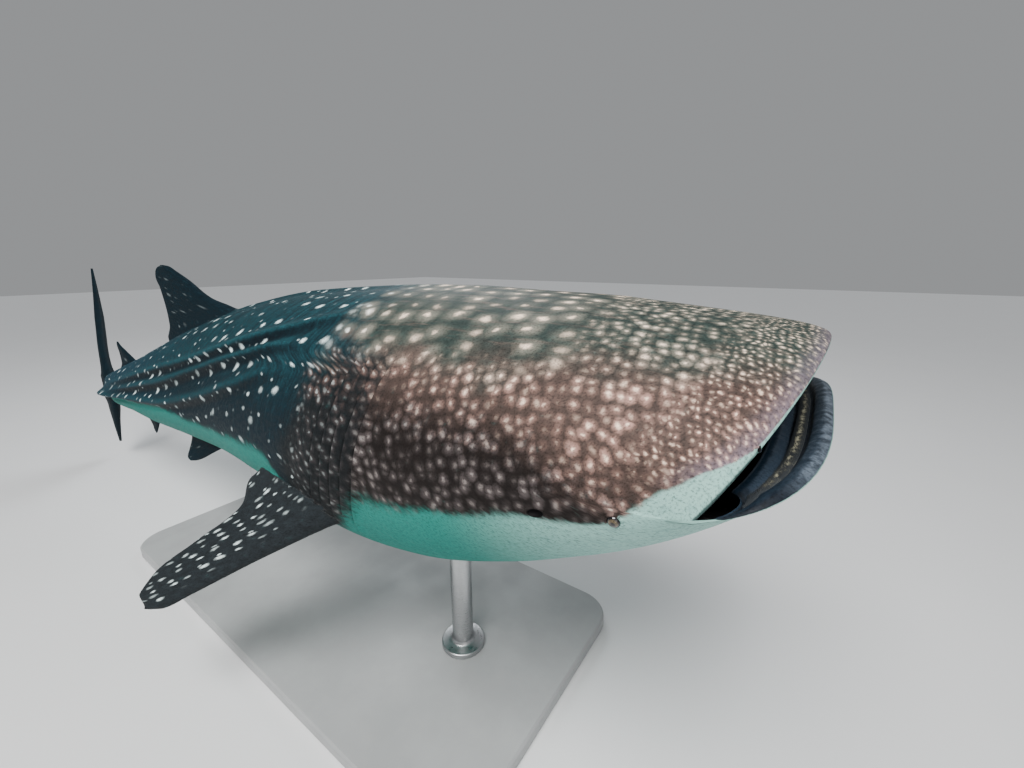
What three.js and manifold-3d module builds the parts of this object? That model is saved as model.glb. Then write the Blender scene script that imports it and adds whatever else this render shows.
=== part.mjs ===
// Whale shark, a still life-size model on a plain display stand.
// Millimetres, +Z up. The shark heads along +X and its left side faces +Y.
// The origin is the middle of the underside of the stand's base.
import * as THREE from 'three';
import { mergeVertices } from 'three/addons/utils/BufferGeometryUtils.js';
import Module from 'manifold-3d';

const wasm = await Module();
wasm.setup();

// Driving sizes of the whole animal
const TOTAL_LENGTH = 6000;
const GAP = 0.3;
const NOSE_UP = THREE.MathUtils.degToRad(5.4);
const STAND_STATION = 0.34;
const BODY_AXIS_HEIGHT = 1050;

// Stations run from 0 at the snout to 1 at the tip of the tail, as fractions of the total
// length. Half heights and half widths of the body are fractions of it too.
const BACK = [[0, 0.021], [0.03, 0.037], [0.07, 0.0553], [0.12, 0.0688], [0.17, 0.0787],
  [0.23, 0.084], [0.32, 0.085], [0.42, 0.079], [0.52, 0.0655], [0.6, 0.05], [0.68, 0.034],
  [0.74, 0.025], [0.82, 0.017]];
const BELLY = [[0, 0.027], [0.03, 0.035], [0.07, 0.0415], [0.12, 0.0565], [0.17, 0.068],
  [0.23, 0.0735], [0.32, 0.0625], [0.42, 0.0545], [0.52, 0.0475], [0.6, 0.04], [0.68, 0.027],
  [0.74, 0.02], [0.82, 0.015]];
const FLANK = [[0, 0.076], [0.03, 0.0805], [0.07, 0.084], [0.12, 0.0865], [0.17, 0.0885],
  [0.23, 0.0865], [0.32, 0.0785], [0.42, 0.064], [0.52, 0.0525], [0.6, 0.0425], [0.68, 0.0285],
  [0.74, 0.0185], [0.78, 0.0115], [0.82, 0.0062]];
const BACK_FULLNESS = [[0, 2.3], [0.1, 2.2], [0.2, 2.1], [0.4, 2], [0.8, 1.9]];
const BELLY_FULLNESS = [[0, 2.6], [0.1, 2.5], [0.25, 2.3], [0.5, 2.1], [0.8, 1.9]];

// Swimming pose: the head is lifted and the tail swings to the left, in radians per length
const HEAD_LIFT = { before: 0.24, rate: 1.06 };
const TAIL_DROP = { after: 0.3, before: 1.1, rate: -0.12 };
const FORE_SWAY = { after: 0.25, before: 1.1, rate: -0.34 };
const AFT_SWAY = { after: 0.68, before: 0.886, rate: 2.3 };

// Where the body is parted
const HEAD_END = 0.125;
const GILLS_END = 0.27;
const FRONT_TRUNK_END = 0.42;
const REAR_TRUNK_END = 0.57;
const STALK_END = 0.82;

// Columns of points run along the ridges of the flank: angles in degrees from the top
const UPPER_RIDGE = {
  path: [[0.085, 25], [0.17, 26], [0.223, 32], [0.285, 42], [0.35, 50], [0.48, 59], [0.8, 62]],
  rise: [[0.18, 0], [0.24, 0.0014], [0.32, 0.0036], [0.5, 0.0036], [0.66, 0.002], [0.74, 0]],
};
const MIDDLE_RIDGE = {
  path: [[0.085, 55], [0.17, 50], [0.26, 48], [0.325, 55], [0.42, 64], [0.53, 72], [0.8, 76]],
  rise: [[0.23, 0], [0.3, 0.0024], [0.42, 0.0038], [0.62, 0.0028], [0.74, 0]],
};
const LOWER_RIDGE = {
  path: [[0.085, 90], [0.16, 80], [0.22, 62], [0.26, 60], [0.327, 69], [0.42, 80], [0.54, 89],
    [0.72, 90], [0.82, 90]],
  rise: [[0.24, 0], [0.31, 0.002], [0.5, 0.0034], [0.62, 0.0044], [0.7, 0.0078], [0.75, 0.0085],
    [0.79, 0.005], [0.82, 0]],
};
const TOP_RIDGE_RISE = [[0.1, 0], [0.2, 0.0012], [0.38, 0.003], [0.44, 0.003], [0.6, 0.0024], [0.8, 0]];
const COLUMNS = { top: 3, upper: 4, middle: 4, lower: 13 };
const BODY_PITCH = 0.019;
const HEAD_PITCH = 0.0133;
const SNOUT_RINGS = 8;
const CAVITY_RINGS = 5;

// Gill slits: five curved flaps a side, each with a ring of skin ahead of it, a raised edge and
// a groove behind, at these offsets from the slit
const GILLS = { count: 5, first: 0.1575, pitch: 0.0092, top: 48, bottom: 128, shorten: 3, fade: 14,
  flap: 0.0014, groove: 0.0026, lean: 0.046, leanTop: 40, leanSpan: 95, leanIn: 0.028, leanOut: 0.07 };
const SLIT_RINGS = [['skin', -0.0035], ['flap', 0], ['groove', 0.0008], ['groove', 0.0024]];
const SLIT_MARGIN = { before: 0.004, after: 0.006 };

// Mouth: the outer edge of the lips in plan, and its heights at the front and the corner
const MOUTH = { halfWidth: 0.0805, corner: 0.038, upperFullness: 1.95, lowerFullness: 3.3,
  upperFront: 0.0232, cornerHeight: -0.0097, lowerFront: -0.004, lowerSetBack: 0.0044, headStation: 0.085 };
const LIP_FADE = 2.2;
const LEAST_LIP = 0.12;

// Across each lip from its outer edge inward: rolled edge, bed of the teeth, furrow and inner fold
const UPPER_LIP = [[0.0022, -0.0016], [0.0048, -0.0014], [0.0066, 0.0014], [0.0114, 0.002],
  [0.013, 0.0045], [0.0165, 0.0035], [0.0195, 0.0045], [0.021, 0.008]];
const LOWER_LIP = [[0.0024, 0.0018], [0.0056, 0.0012], [0.0078, -0.0016], [0.0126, -0.0024],
  [0.0142, -0.0055], [0.0175, -0.003], [0.0205, -0.0035], [0.023, -0.0095]];
const MOUTH_MIDDLE = { station: 0.056, halfWidth: 0.072, roof: 0.028, floor: -0.031 };
const THROAT = { station: 0.108, halfWidth: 0.056, roof: 0.03, floor: -0.033 };
const THROAT_BACK = { station: 0.113, halfWidth: 0.03, roof: 0.015, floor: -0.018 };

// Head details
const EYE = { station: 0.06, angle: 99, radius: 14, sink: 5, lid: 3.6, lidOut: 2.2, lidSink: 1,
  segments: [14, 9] };
const SPIRACLE = { station: 0.087, angle: 96, radius: 15, scale: [1.3, 0.7, 0.8] };
const NOSTRIL = { angle: 60, along: 0.98, radius: 8, scale: [1, 1.5, 0.9], from: [3, 0, -7] };
const BARBEL = [[0, -11], [5.5, -7], [6, 0], [4.5, 12], [2.5, 24], [0, 33]];
const PIT_SEGMENTS = [10, 8];
const JAW_CUT = { cornerStation: 0.0385, chinStation: 0.112, chinHeight: -0.06, deep: -0.12,
  wide: 0.13, ahead: -0.06, aheadHeight: 0.04 };
const TOOTH_BAND = { fade: 14, to: 76, height: 0.0011, seat: 1.5, inset: 0.1 };

// Fins, each as a leading and a trailing edge along the span, all in fractions of the total length
const FIRST_DORSAL = {
  root: [0.425, 0, 0.045], chord: [1, 0, 0], span: [0, 0, 0.087], thickness: 0.0115,
  front: [[0, 0], [0.3, 0.008], [0.42, 0.034], [0.54, 0.066], [0.77, 0.099], [0.9, 0.12], [0.97, 0.132],
    [1, 0.1436]],
  back: [[0, 0.166], [0.12, 0.171], [0.3, 0.16], [0.5, 0.158], [0.75, 0.1595], [0.87, 0.1628],
    [0.94, 0.1605], [0.985, 0.155], [1, 0.1445]],
};
const SECOND_DORSAL = {
  root: [0.665, 0, 0.016], chord: [1, 0, 0], span: [0, 0, 0.044], thickness: 0.006,
  front: [[0, 0], [0.4, 0.018], [0.55, 0.026], [0.73, 0.037], [0.88, 0.047], [1, 0.0525]],
  back: [[0, 0.06], [0.23, 0.066], [0.4, 0.058], [0.7, 0.0565], [0.86, 0.0575], [0.95, 0.0565],
    [1, 0.0535]],
};
const ANAL = {
  root: [0.648, 0, -0.014], chord: [1, 0, 0], span: [0, 0.007, -0.045], thickness: 0.0055,
  front: [[0, 0], [0.4, 0.018], [0.7, 0.034], [0.92, 0.047], [1, 0.053]],
  back: [[0, 0.056], [0.3, 0.064], [0.5, 0.054], [0.75, 0.053], [0.92, 0.0555], [1, 0.0538]],
};
const PELVIC = {
  root: [0.462, -0.02, -0.033], chord: [1, -0.02, 0.1], span: [0, -0.014, -0.038], thickness: 0.007,
  front: [[0, 0], [0.35, 0.012], [0.7, 0.036], [0.88, 0.05], [0.96, 0.059], [1, 0.067]],
  back: [[0, 0.068], [0.25, 0.076], [0.5, 0.073], [0.75, 0.0745], [0.9, 0.076], [0.97, 0.0745],
    [1, 0.0705]],
};
const PECTORAL = {
  root: [0.2062, -0.0599, -0.0205], chord: [0.994, -0.091, 0.063], span: [0.0314, -0.0741, -0.0759],
  thickness: 0.0155,
  front: [[0, 0], [0.16, 0.006], [0.35, 0.021], [0.6, 0.0465], [0.85, 0.0718], [0.96, 0.084], [1, 0.095]],
  back: [[0, 0.087], [0.18, 0.0973], [0.34, 0.0866], [0.6, 0.1008], [0.85, 0.1146], [0.96, 0.1132],
    [1, 0.0977]],
};
const CAUDAL = {
  root: [0.79, -0.0056, -0.084], chord: [1, 0, 0], span: [0, 0.018, 0.272], thickness: 0.011,
  bothTips: true,
  front: [[0, 0.083], [0.03, 0.071], [0.12, 0.044], [0.22, 0.018], [0.31, 0.006], [0.42, 0.032],
    [0.6, 0.088], [0.8, 0.146], [0.95, 0.188], [1, 0.203]],
  back: [[0, 0.086], [0.03, 0.092], [0.12, 0.098], [0.22, 0.101], [0.31, 0.105], [0.42, 0.117],
    [0.6, 0.15], [0.8, 0.188], [0.95, 0.206], [1, 0.2055]],
};
const FIN_STEPS = 10;
const CAUDAL_STEPS = 18;

// Across a fin from its leading edge: place and share of its thickness
const CHORD_POINTS = [0, 0.04, 0.14, 0.3, 0.5, 0.75, 1];
const CHORD_THICKNESS = [0.28, 0.62, 0.92, 1, 0.84, 0.48, 0.14];

// Display stand
const BASE = { length: 2600, width: 1200, thickness: 60, corner: 140, bevel: 8 };
const RODS = { radius: 45, front: 0.2, rear: 0.47, sides: 24, collar: 95, collarHeight: 24, slope: 8,
  into: 160 };

// Colours and finishes
const SKIN = { color: 0x3a4a50, roughness: 0.55, metalness: 0 };
const PALE_SKIN = { color: 0x8fa4a4, roughness: 0.55, metalness: 0 };
const EYE_FINISH = { color: 0x14130f, roughness: 0.15, metalness: 0 };
const TEETH = { color: 0xc9c4a4, roughness: 0.5, metalness: 0 };
const STAND_FINISH = { color: 0x9a9c9d, roughness: 0.5, metalness: 0.1 };

const rad = THREE.MathUtils.degToRad;
const clamp = THREE.MathUtils.clamp;

// A smooth curve through a short list of [place, value], without overshoot
function curve(points) {
  const slopes = [];
  const rise = i => (points[i + 1][1] - points[i][1]) / (points[i + 1][0] - points[i][0]);
  const last = points.length - 1;
  slopes[0] = rise(0);
  slopes[last] = rise(last - 1);
  for (let i = 1; i < last; i++) {
    const before = points[i][0] - points[i - 1][0];
    const after = points[i + 1][0] - points[i][0];
    const a = 2 * after + before;
    const b = after + 2 * before;
    slopes[i] = rise(i - 1) * rise(i) <= 0 ? 0 : (a + b) / (a / rise(i - 1) + b / rise(i));
  }
  return at => {
    const x = clamp(at, points[0][0], points[last][0]);
    let i = 0;
    while (i < last - 1 && x > points[i + 1][0]) i++;
    const width = points[i + 1][0] - points[i][0];
    const t = (x - points[i][0]) / width;
    const tt = t * t;
    const ttt = tt * t;
    return (2 * ttt - 3 * tt + 1) * points[i][1] + (ttt - 2 * tt + t) * width * slopes[i]
      + (3 * tt - 2 * ttt) * points[i + 1][1] + (ttt - tt) * width * slopes[i + 1];
  };
}

const backAt = curve(BACK);
const bellyAt = curve(BELLY);
const flankAt = curve(FLANK);
const backFullnessAt = curve(BACK_FULLNESS);
const bellyFullnessAt = curve(BELLY_FULLNESS);
const ridgeCurves = r => ({ angle: curve(r.path), rise: curve(r.rise) });
const ridges = [UPPER_RIDGE, MIDDLE_RIDGE, LOWER_RIDGE].map(ridgeCurves);
const topRidgeAt = curve(TOP_RIDGE_RISE);
const smooth = t => THREE.MathUtils.smoothstep(t, 0, 1);

// The bent body axis: place, forward, left and up directions at any station
const SPINE_STEP = 0.001;
const bendAfter = (bend, u) => bend.rate * clamp(u - bend.after, 0, bend.before - bend.after);
const swayAt = u => bendAfter(FORE_SWAY, u) + bendAfter(AFT_SWAY, u);
const slopeAt = u => bendAfter(TAIL_DROP, u) - HEAD_LIFT.rate * Math.max(HEAD_LIFT.before - u, 0);

function axisStep(u) {
  const sway = swayAt(u);
  const slope = slopeAt(u);
  return new THREE.Vector3(-Math.cos(sway) * Math.cos(slope), Math.sin(sway), Math.sin(slope));
}

function spineAt(u) {
  const from = HEAD_LIFT.before;
  const steps = Math.max(1, Math.ceil(Math.abs(u - from) / SPINE_STEP));
  const step = (u - from) / steps;
  const place = new THREE.Vector3(STAND_STATION - from, 0, 0);
  for (let i = 0; i < steps; i++) {
    place.addScaledVector(axisStep(from + (i + 0.5) * step), step);
  }
  return place;
}

const spineCache = new Map();

// A point of the straight animal, station, sideways and height, laid on the bent axis, in mm
function place(u, y, z) {
  const key = Math.round(u * 1e6);
  if (!spineCache.has(key)) spineCache.set(key, spineAt(u));
  const sway = swayAt(u);
  const slope = slopeAt(u);
  const left = new THREE.Vector3(Math.sin(sway), Math.cos(sway), 0);
  const ahead = new THREE.Vector3(Math.cos(sway), -Math.sin(sway), 0);
  const up = ahead.multiplyScalar(Math.sin(slope)).setZ(Math.cos(slope));
  const point = spineCache.get(key).clone().addScaledVector(left, y).addScaledVector(up, z);
  return point.multiplyScalar(TOTAL_LENGTH);
}

// Angles of one side's columns at a station, from the top to the belly
const NEAR_ANGLE = 0.01;

function sideAngles(u) {
  const marks = [0, ...ridges.map(r => r.angle(u)), 180];
  const counts = [COLUMNS.top, COLUMNS.upper, COLUMNS.middle, COLUMNS.lower];
  const angles = [];
  counts.forEach((count, k) => {
    for (let i = 0; i < count; i++) angles.push(marks[k] + (marks[k + 1] - marks[k]) * i / count);
  });
  return angles;
}

const SIDE_COLUMNS = COLUMNS.top + COLUMNS.upper + COLUMNS.middle + COLUMNS.lower;
const RING = 2 * SIDE_COLUMNS;

// Angles all round, from the top down the right side and up the left
function ringAngles(u) {
  const side = sideAngles(u);
  const other = side.slice(1).reverse().map(a => 360 - a);
  return [...side, 180, ...other];
}

const signedPower = (v, p) => Math.sign(v) * Math.abs(v) ** p;

function section(u, degrees) {
  const s = Math.sin(rad(degrees));
  const c = Math.cos(rad(degrees));
  const fullness = c > 0 ? backFullnessAt(u) : bellyFullnessAt(u);
  const height = c > 0 ? backAt(u) : bellyAt(u);
  return [-flankAt(u) * signedPower(s, 2 / fullness), height * signedPower(c, 2 / fullness)];
}

// Outward direction of the section, sideways and up
function outward(u, degrees) {
  const [y, z] = section(u, degrees);
  const height = z > 0 ? backAt(u) : bellyAt(u);
  const v = new THREE.Vector2(y / flankAt(u) ** 2, z / height ** 2);
  return v.normalize();
}

// How far each ridge lifts the skin at its own column
function ridgeRise(u, degrees) {
  const side = degrees > 180 ? 360 - degrees : degrees;
  let rise = side < NEAR_ANGLE ? topRidgeAt(u) : 0;
  ridges.forEach(r => {
    if (Math.abs(side - r.angle(u)) < NEAR_ANGLE) rise += r.rise(u);
  });
  return rise;
}

// The gill slits lean back towards the belly
function gillLean(station, degrees) {
  const side = degrees > 180 ? 360 - degrees : degrees;
  const into = smooth((station - HEAD_END) / GILLS.leanIn);
  const amount = Math.min(into, smooth((GILLS_END - station) / GILLS.leanOut));
  return GILLS.lean * amount * smooth((side - GILLS.leanTop) / GILLS.leanSpan);
}

// Skin offset at a slit: a raised flap edge, then a groove behind it
function gillOffset(kind, slit, degrees) {
  if (kind === 'skin') return 0;
  const side = degrees > 180 ? 360 - degrees : degrees;
  const bottom = GILLS.bottom - GILLS.shorten * slit;
  const window = smooth((side - GILLS.top) / GILLS.fade) * smooth((bottom - side) / GILLS.fade);
  return window * (kind === 'flap' ? GILLS.flap : -GILLS.groove);
}

function bodyPoint(station, degrees, lift = 0) {
  const u = station + gillLean(station, degrees);
  const [y, z] = section(u, degrees);
  const out = outward(u, degrees);
  const d = lift + ridgeRise(station, degrees);
  return [u, y + out.x * d, z + out.y * d];
}

function bodyRing(station, lift = 0, kind = 'skin', slit = 0) {
  return ringAngles(station).map(a => place(...bodyPoint(station, a, lift + gillOffset(kind, slit, a))));
}

// A closed body from rings of equal count, with a flat fan at each end
function loft(rings) {
  const positions = [];
  const indices = [];
  rings.forEach(ring => ring.forEach(p => positions.push(p.x, p.y, p.z)));
  const n = rings[0].length;
  for (let i = 0; i < rings.length - 1; i++) {
    for (let j = 0; j < n; j++) {
      const a = i * n + j;
      const b = i * n + (j + 1) % n;
      indices.push(a, b, a + n, b, b + n, a + n);
    }
  }
  const fan = (ring, start, flip) => {
    const middle = ring.reduce((sum, p) => sum.add(p), new THREE.Vector3()).divideScalar(n);
    const centre = positions.length / 3;
    positions.push(middle.x, middle.y, middle.z);
    for (let j = 0; j < n; j++) {
      const a = start + j;
      const b = start + (j + 1) % n;
      indices.push(centre, flip ? a : b, flip ? b : a);
    }
  };
  fan(rings[0], 0, false);
  fan(rings[rings.length - 1], (rings.length - 1) * n, true);
  return facing(positions, indices);
}

// Geometry from points and triangles, turned so that its faces point out
function facing(positions, indices) {
  const at = i => new THREE.Vector3().fromArray(positions, 3 * i);
  let volume = 0;
  for (let i = 0; i < indices.length; i += 3) {
    volume += at(indices[i]).dot(at(indices[i + 1]).cross(at(indices[i + 2])));
  }
  if (volume < 0) {
    for (let i = 0; i < indices.length; i += 3) {
      [indices[i], indices[i + 1]] = [indices[i + 1], indices[i]];
    }
  }
  const geometry = new THREE.BufferGeometry();
  geometry.setAttribute('position', new THREE.Float32BufferAttribute(positions, 3));
  geometry.setIndex(indices);
  return geometry;
}

function toSolid(geometry) {
  const bare = geometry.clone();
  bare.deleteAttribute('normal');
  bare.deleteAttribute('uv');
  const merged = mergeVertices(bare, 1e-4);
  const vertProperties = new Float32Array(merged.attributes.position.array);
  const triVerts = new Uint32Array(merged.index.array);
  return new wasm.Manifold(new wasm.Mesh({ numProp: 3, vertProperties, triVerts }));
}

// The largest closed surface of a solid, as a geometry
function toGeometry(solid) {
  const pieces = solid.decompose().sort((a, b) => b.volume() - a.volume());
  const mesh = pieces[0].getMesh();
  return facing(Array.from(mesh.vertProperties), Array.from(mesh.triVerts));
}

// Even stations of a body length, with its two ends kept half a gap short
function stations(from, to, pitch) {
  const half = GAP / 2 / TOTAL_LENGTH;
  const count = Math.round((to - from) / pitch);
  const list = [];
  for (let i = 0; i <= count; i++) list.push(from + half + (to - from - 2 * half) * i / count);
  return list;
}

// Outer edge of the lips: station, sideways and height
function lipEdge(degrees) {
  const s = Math.sin(rad(degrees));
  const c = Math.cos(rad(degrees));
  const upper = c > -1e-9;
  const fullness = upper ? MOUTH.upperFullness : MOUTH.lowerFullness;
  const front = Math.abs(c) < 1e-9 ? 0 : Math.abs(c) ** (2 / fullness);
  const y = -MOUTH.halfWidth * signedPower(s, 2 / fullness);
  const frontStation = upper ? 0 : MOUTH.lowerSetBack;
  const frontHeight = upper ? MOUTH.upperFront : MOUTH.lowerFront;
  return new THREE.Vector3(THREE.MathUtils.lerp(MOUTH.corner, frontStation, front), y,
    THREE.MathUtils.lerp(MOUTH.cornerHeight, frontHeight, front));
}

// Direction in plan from the lip edge into the mouth
function lipInward(degrees) {
  const step = 0.5;
  const middle = MOUTH_MIDDLE.station;
  const across = lipEdge(degrees + step).sub(lipEdge(degrees - step));
  const inward = new THREE.Vector3(-across.y, across.x, 0).normalize();
  const edge = lipEdge(degrees);
  const toMiddle = new THREE.Vector3(middle - edge.x, -edge.y, 0);
  if (inward.dot(toMiddle) < 0) inward.negate();
  return inward;
}

// How far the lips keep their full size towards the corner of the mouth
const lipFade = degrees => clamp(Math.abs(Math.cos(rad(degrees))) * LIP_FADE, LEAST_LIP, 1);

function lipPoint(degrees, k, lift = 0) {
  const upper = Math.cos(rad(degrees)) > -1e-9;
  const [inset, height] = (upper ? UPPER_LIP : LOWER_LIP)[k];
  const fade = lipFade(degrees);
  const point = lipEdge(degrees).addScaledVector(lipInward(degrees), inset * fade);
  point.z += height * fade + (upper ? -lift : lift);
  return point;
}

const CAVITY_POWER = 0.85;

function cavityPoint(degrees, shape) {
  const s = Math.sin(rad(degrees));
  const c = Math.cos(rad(degrees));
  const height = (c > 0 ? shape.roof : -shape.floor) * signedPower(c, CAVITY_POWER);
  return new THREE.Vector3(shape.station, -shape.halfWidth * signedPower(s, CAVITY_POWER), height);
}

const SNOUT = { upper: [0.4, 0, -0.92], upperEase: 0.45, upperLeave: 0.09, upperArrive: 0.085,
  lower: [-0.75, 0, 0.66], lowerEase: 1, leave: 0.38, arrive: 0.3 };

// Skin of the snout and chin, from the head's last full ring to the edge of the lips
function snoutPoint(degrees, t) {
  const u = MOUTH.headStation;
  const start = new THREE.Vector3(...bodyPoint(u, degrees));
  const ahead = new THREE.Vector3(...bodyPoint(u - 0.001, degrees)).sub(start).normalize();
  const end = lipEdge(degrees);
  const reach = start.distanceTo(end);
  const c = Math.cos(rad(degrees));
  const front = new THREE.Vector3(...(c > 0 ? SNOUT.upper : SNOUT.lower));
  const share = Math.abs(c) ** (c > 0 ? SNOUT.upperEase : SNOUT.lowerEase);
  const arrive = new THREE.Vector3(-1, 0, 0).lerp(front, share).normalize();
  const above = c > 0 ? share : 0;
  const leave = SNOUT.leave + (SNOUT.upperLeave - SNOUT.leave) * above;
  const handle = SNOUT.arrive + (SNOUT.upperArrive - SNOUT.arrive) * above;
  const leaving = start.clone().addScaledVector(ahead, leave * reach);
  const arriving = end.clone().addScaledVector(arrive, -handle * reach);
  return new THREE.CubicBezierCurve3(start, leaving, arriving, end).getPoint(t);
}

const laid = p => place(p.x, p.y, p.z);

function headSolid() {
  const angles = ringAngles(MOUTH.headStation);
  const rings = stations(MOUTH.headStation, HEAD_END, HEAD_PITCH).reverse().map(u => bodyRing(u));
  rings.pop();
  rings.push(bodyRing(MOUTH.headStation));
  for (let i = 1; i <= SNOUT_RINGS; i++) {
    rings.push(angles.map(a => laid(snoutPoint(a, i / SNOUT_RINGS))));
  }
  UPPER_LIP.forEach((_, k) => rings.push(angles.map(a => laid(lipPoint(a, k)))));
  const innerLip = UPPER_LIP.length - 1;
  const paths = angles.map(a => new THREE.CatmullRomCurve3(
    [lipPoint(a, innerLip), cavityPoint(a, MOUTH_MIDDLE), cavityPoint(a, THROAT)]));
  for (let i = 1; i <= CAVITY_RINGS; i++) {
    rings.push(paths.map(path => laid(path.getPoint(i / CAVITY_RINGS))));
  }
  rings.push(angles.map(a => laid(cavityPoint(a, THROAT_BACK))));
  return toSolid(loft(rings));
}

const SMALL_STEP = 0.001;
const LEAST_STATION = 0.03;

// A frame on the skin at a station and angle: origin on the skin, Z pointing out, X ahead
function skinFrame(station, degrees) {
  const inSnout = station < MOUTH.headStation;
  const near = inSnout ? snoutSpot(station, degrees) : new THREE.Vector3(...bodyPoint(station, degrees));
  const across = outward(Math.max(near.x, LEAST_STATION), degrees);
  const lifted = near.clone().add(new THREE.Vector3(0, across.x, across.y).multiplyScalar(SMALL_STEP));
  const origin = laid(near);
  const out = laid(lifted).sub(origin).normalize();
  const ahead = laid(near.clone().setX(near.x - SMALL_STEP)).sub(origin);
  ahead.addScaledVector(out, -ahead.dot(out)).normalize();
  const side = new THREE.Vector3().crossVectors(out, ahead);
  return new THREE.Matrix4().makeBasis(ahead, side, out).setPosition(origin);
}

// The point of the snout's skin whose station is given
function snoutSpot(station, degrees) {
  let low = 0;
  let high = 1;
  for (let halving = 0; halving < 24; halving++) {
    const middle = (low + high) / 2;
    if (snoutPoint(degrees, middle).x > station) low = middle;
    else high = middle;
  }
  return snoutPoint(degrees, low);
}

const placed = (geometry, frame) => geometry.applyMatrix4(frame);
const ball = (radius, [around, down]) => new THREE.SphereGeometry(radius, around, down);

const eyeBall = grow => ball(EYE.radius + grow, EYE.segments).translate(0, 0, -EYE.sink);

function eyeLid() {
  const rim = Math.sqrt(EYE.radius ** 2 - EYE.sink ** 2);
  return new THREE.TorusGeometry(rim + EYE.lidOut, EYE.lid, 6, 16).translate(0, 0, -EYE.lidSink);
}

// Where a nostril opens on the upper lip, with its short barbel
function nostrilFrame(angle) {
  const point = laid(snoutPoint(angle, NOSTRIL.along));
  const below = laid(lipPoint(angle, 1));
  const down = below.clone().sub(point).normalize();
  const ahead = new THREE.Vector3(1, 0, 0).addScaledVector(down, -down.x).normalize();
  const side = new THREE.Vector3().crossVectors(down, ahead);
  return new THREE.Matrix4().makeBasis(ahead, side, down).setPosition(point);
}

function barbel() {
  const outline = BARBEL.map(([r, h]) => new THREE.Vector2(r, h));
  return new THREE.LatheGeometry(outline, 8).rotateX(Math.PI / 2);
}

function detailedHead() {
  let head = headSolid();
  const join = (geometry, frame) => {
    head = head.add(toSolid(placed(geometry, frame)));
  };
  const cut = (geometry, frame) => {
    head = head.subtract(toSolid(placed(geometry, frame)));
  };
  [angle => angle, angle => 360 - angle].forEach(onSide => {
    const socket = skinFrame(EYE.station, onSide(EYE.angle));
    join(eyeLid(), socket);
    cut(eyeBall(GAP), socket);
    const spiracle = skinFrame(SPIRACLE.station, onSide(SPIRACLE.angle));
    cut(ball(SPIRACLE.radius, PIT_SEGMENTS).scale(...SPIRACLE.scale), spiracle);
    const nose = nostrilFrame(onSide(NOSTRIL.angle));
    join(barbel(), nose);
    cut(ball(NOSTRIL.radius, PIT_SEGMENTS).scale(...NOSTRIL.scale).translate(...NOSTRIL.from), nose);
  });
  return head;
}

// A block that holds the lower jaw: below the gape, and below a plane from the corners of the
// mouth to the throat
function jawBlock(shift) {
  const corner = [JAW_CUT.cornerStation, MOUTH.cornerHeight + shift];
  const chin = [JAW_CUT.chinStation, JAW_CUT.chinHeight + shift];
  const ahead = [JAW_CUT.ahead, JAW_CUT.aheadHeight + shift];
  const outline = [ahead, corner, chin, [chin[0], JAW_CUT.deep], [ahead[0], JAW_CUT.deep]];
  const rings = [-JAW_CUT.wide, JAW_CUT.wide].map(y => outline.map(([u, z]) => place(u, y, z)));
  return toSolid(loft(rings));
}

// A raised strip along the inner edge of a lip, on the lip's own columns and seated clear of it
function toothBand(centre) {
  const up = centre === 0 ? -1 : 1;
  const seat = TOOTH_BAND.seat / TOTAL_LENGTH;
  const turns = ringAngles(MOUTH.headStation).map(a => (a - centre + 540) % 360 - 180);
  const leastHeight = 0.35;
  const kept = turns.filter(t => Math.abs(t) <= TOOTH_BAND.to).sort((a, b) => a - b);
  const rings = kept.map(turn => {
    const angle = (centre + turn + 360) % 360;
    const fromEnd = smooth((TOOTH_BAND.to - Math.abs(turn)) / TOOTH_BAND.fade);
    const ease = leastHeight + (1 - leastHeight) * fromEnd;
    const low = lipPoint(angle, 2, seat);
    const high = lipPoint(angle, 3, seat);
    const inner = low.clone().lerp(high, TOOTH_BAND.inset);
    const outer = low.clone().lerp(high, 1 - TOOTH_BAND.inset);
    const raise = new THREE.Vector3(0, 0, up * TOOTH_BAND.height * ease);
    return [inner, outer, outer.clone().add(raise), inner.clone().add(raise)].map(laid);
  });
  return loft(rings);
}

// Places along the span, closer at the tips
const towardTip = even => Math.sin(Math.PI / 2 * even) ** 1.15;
const towardTips = even => (1 - Math.cos(Math.PI * even)) / 2;

// Share of the root's thickness that a fin keeps along its span
const thinToTip = v => 1 - 0.72 * v;
const thinToTips = v => Math.min(1, 0.25 + 2.4 * Math.min(v / 0.6, 1 - v));

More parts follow.
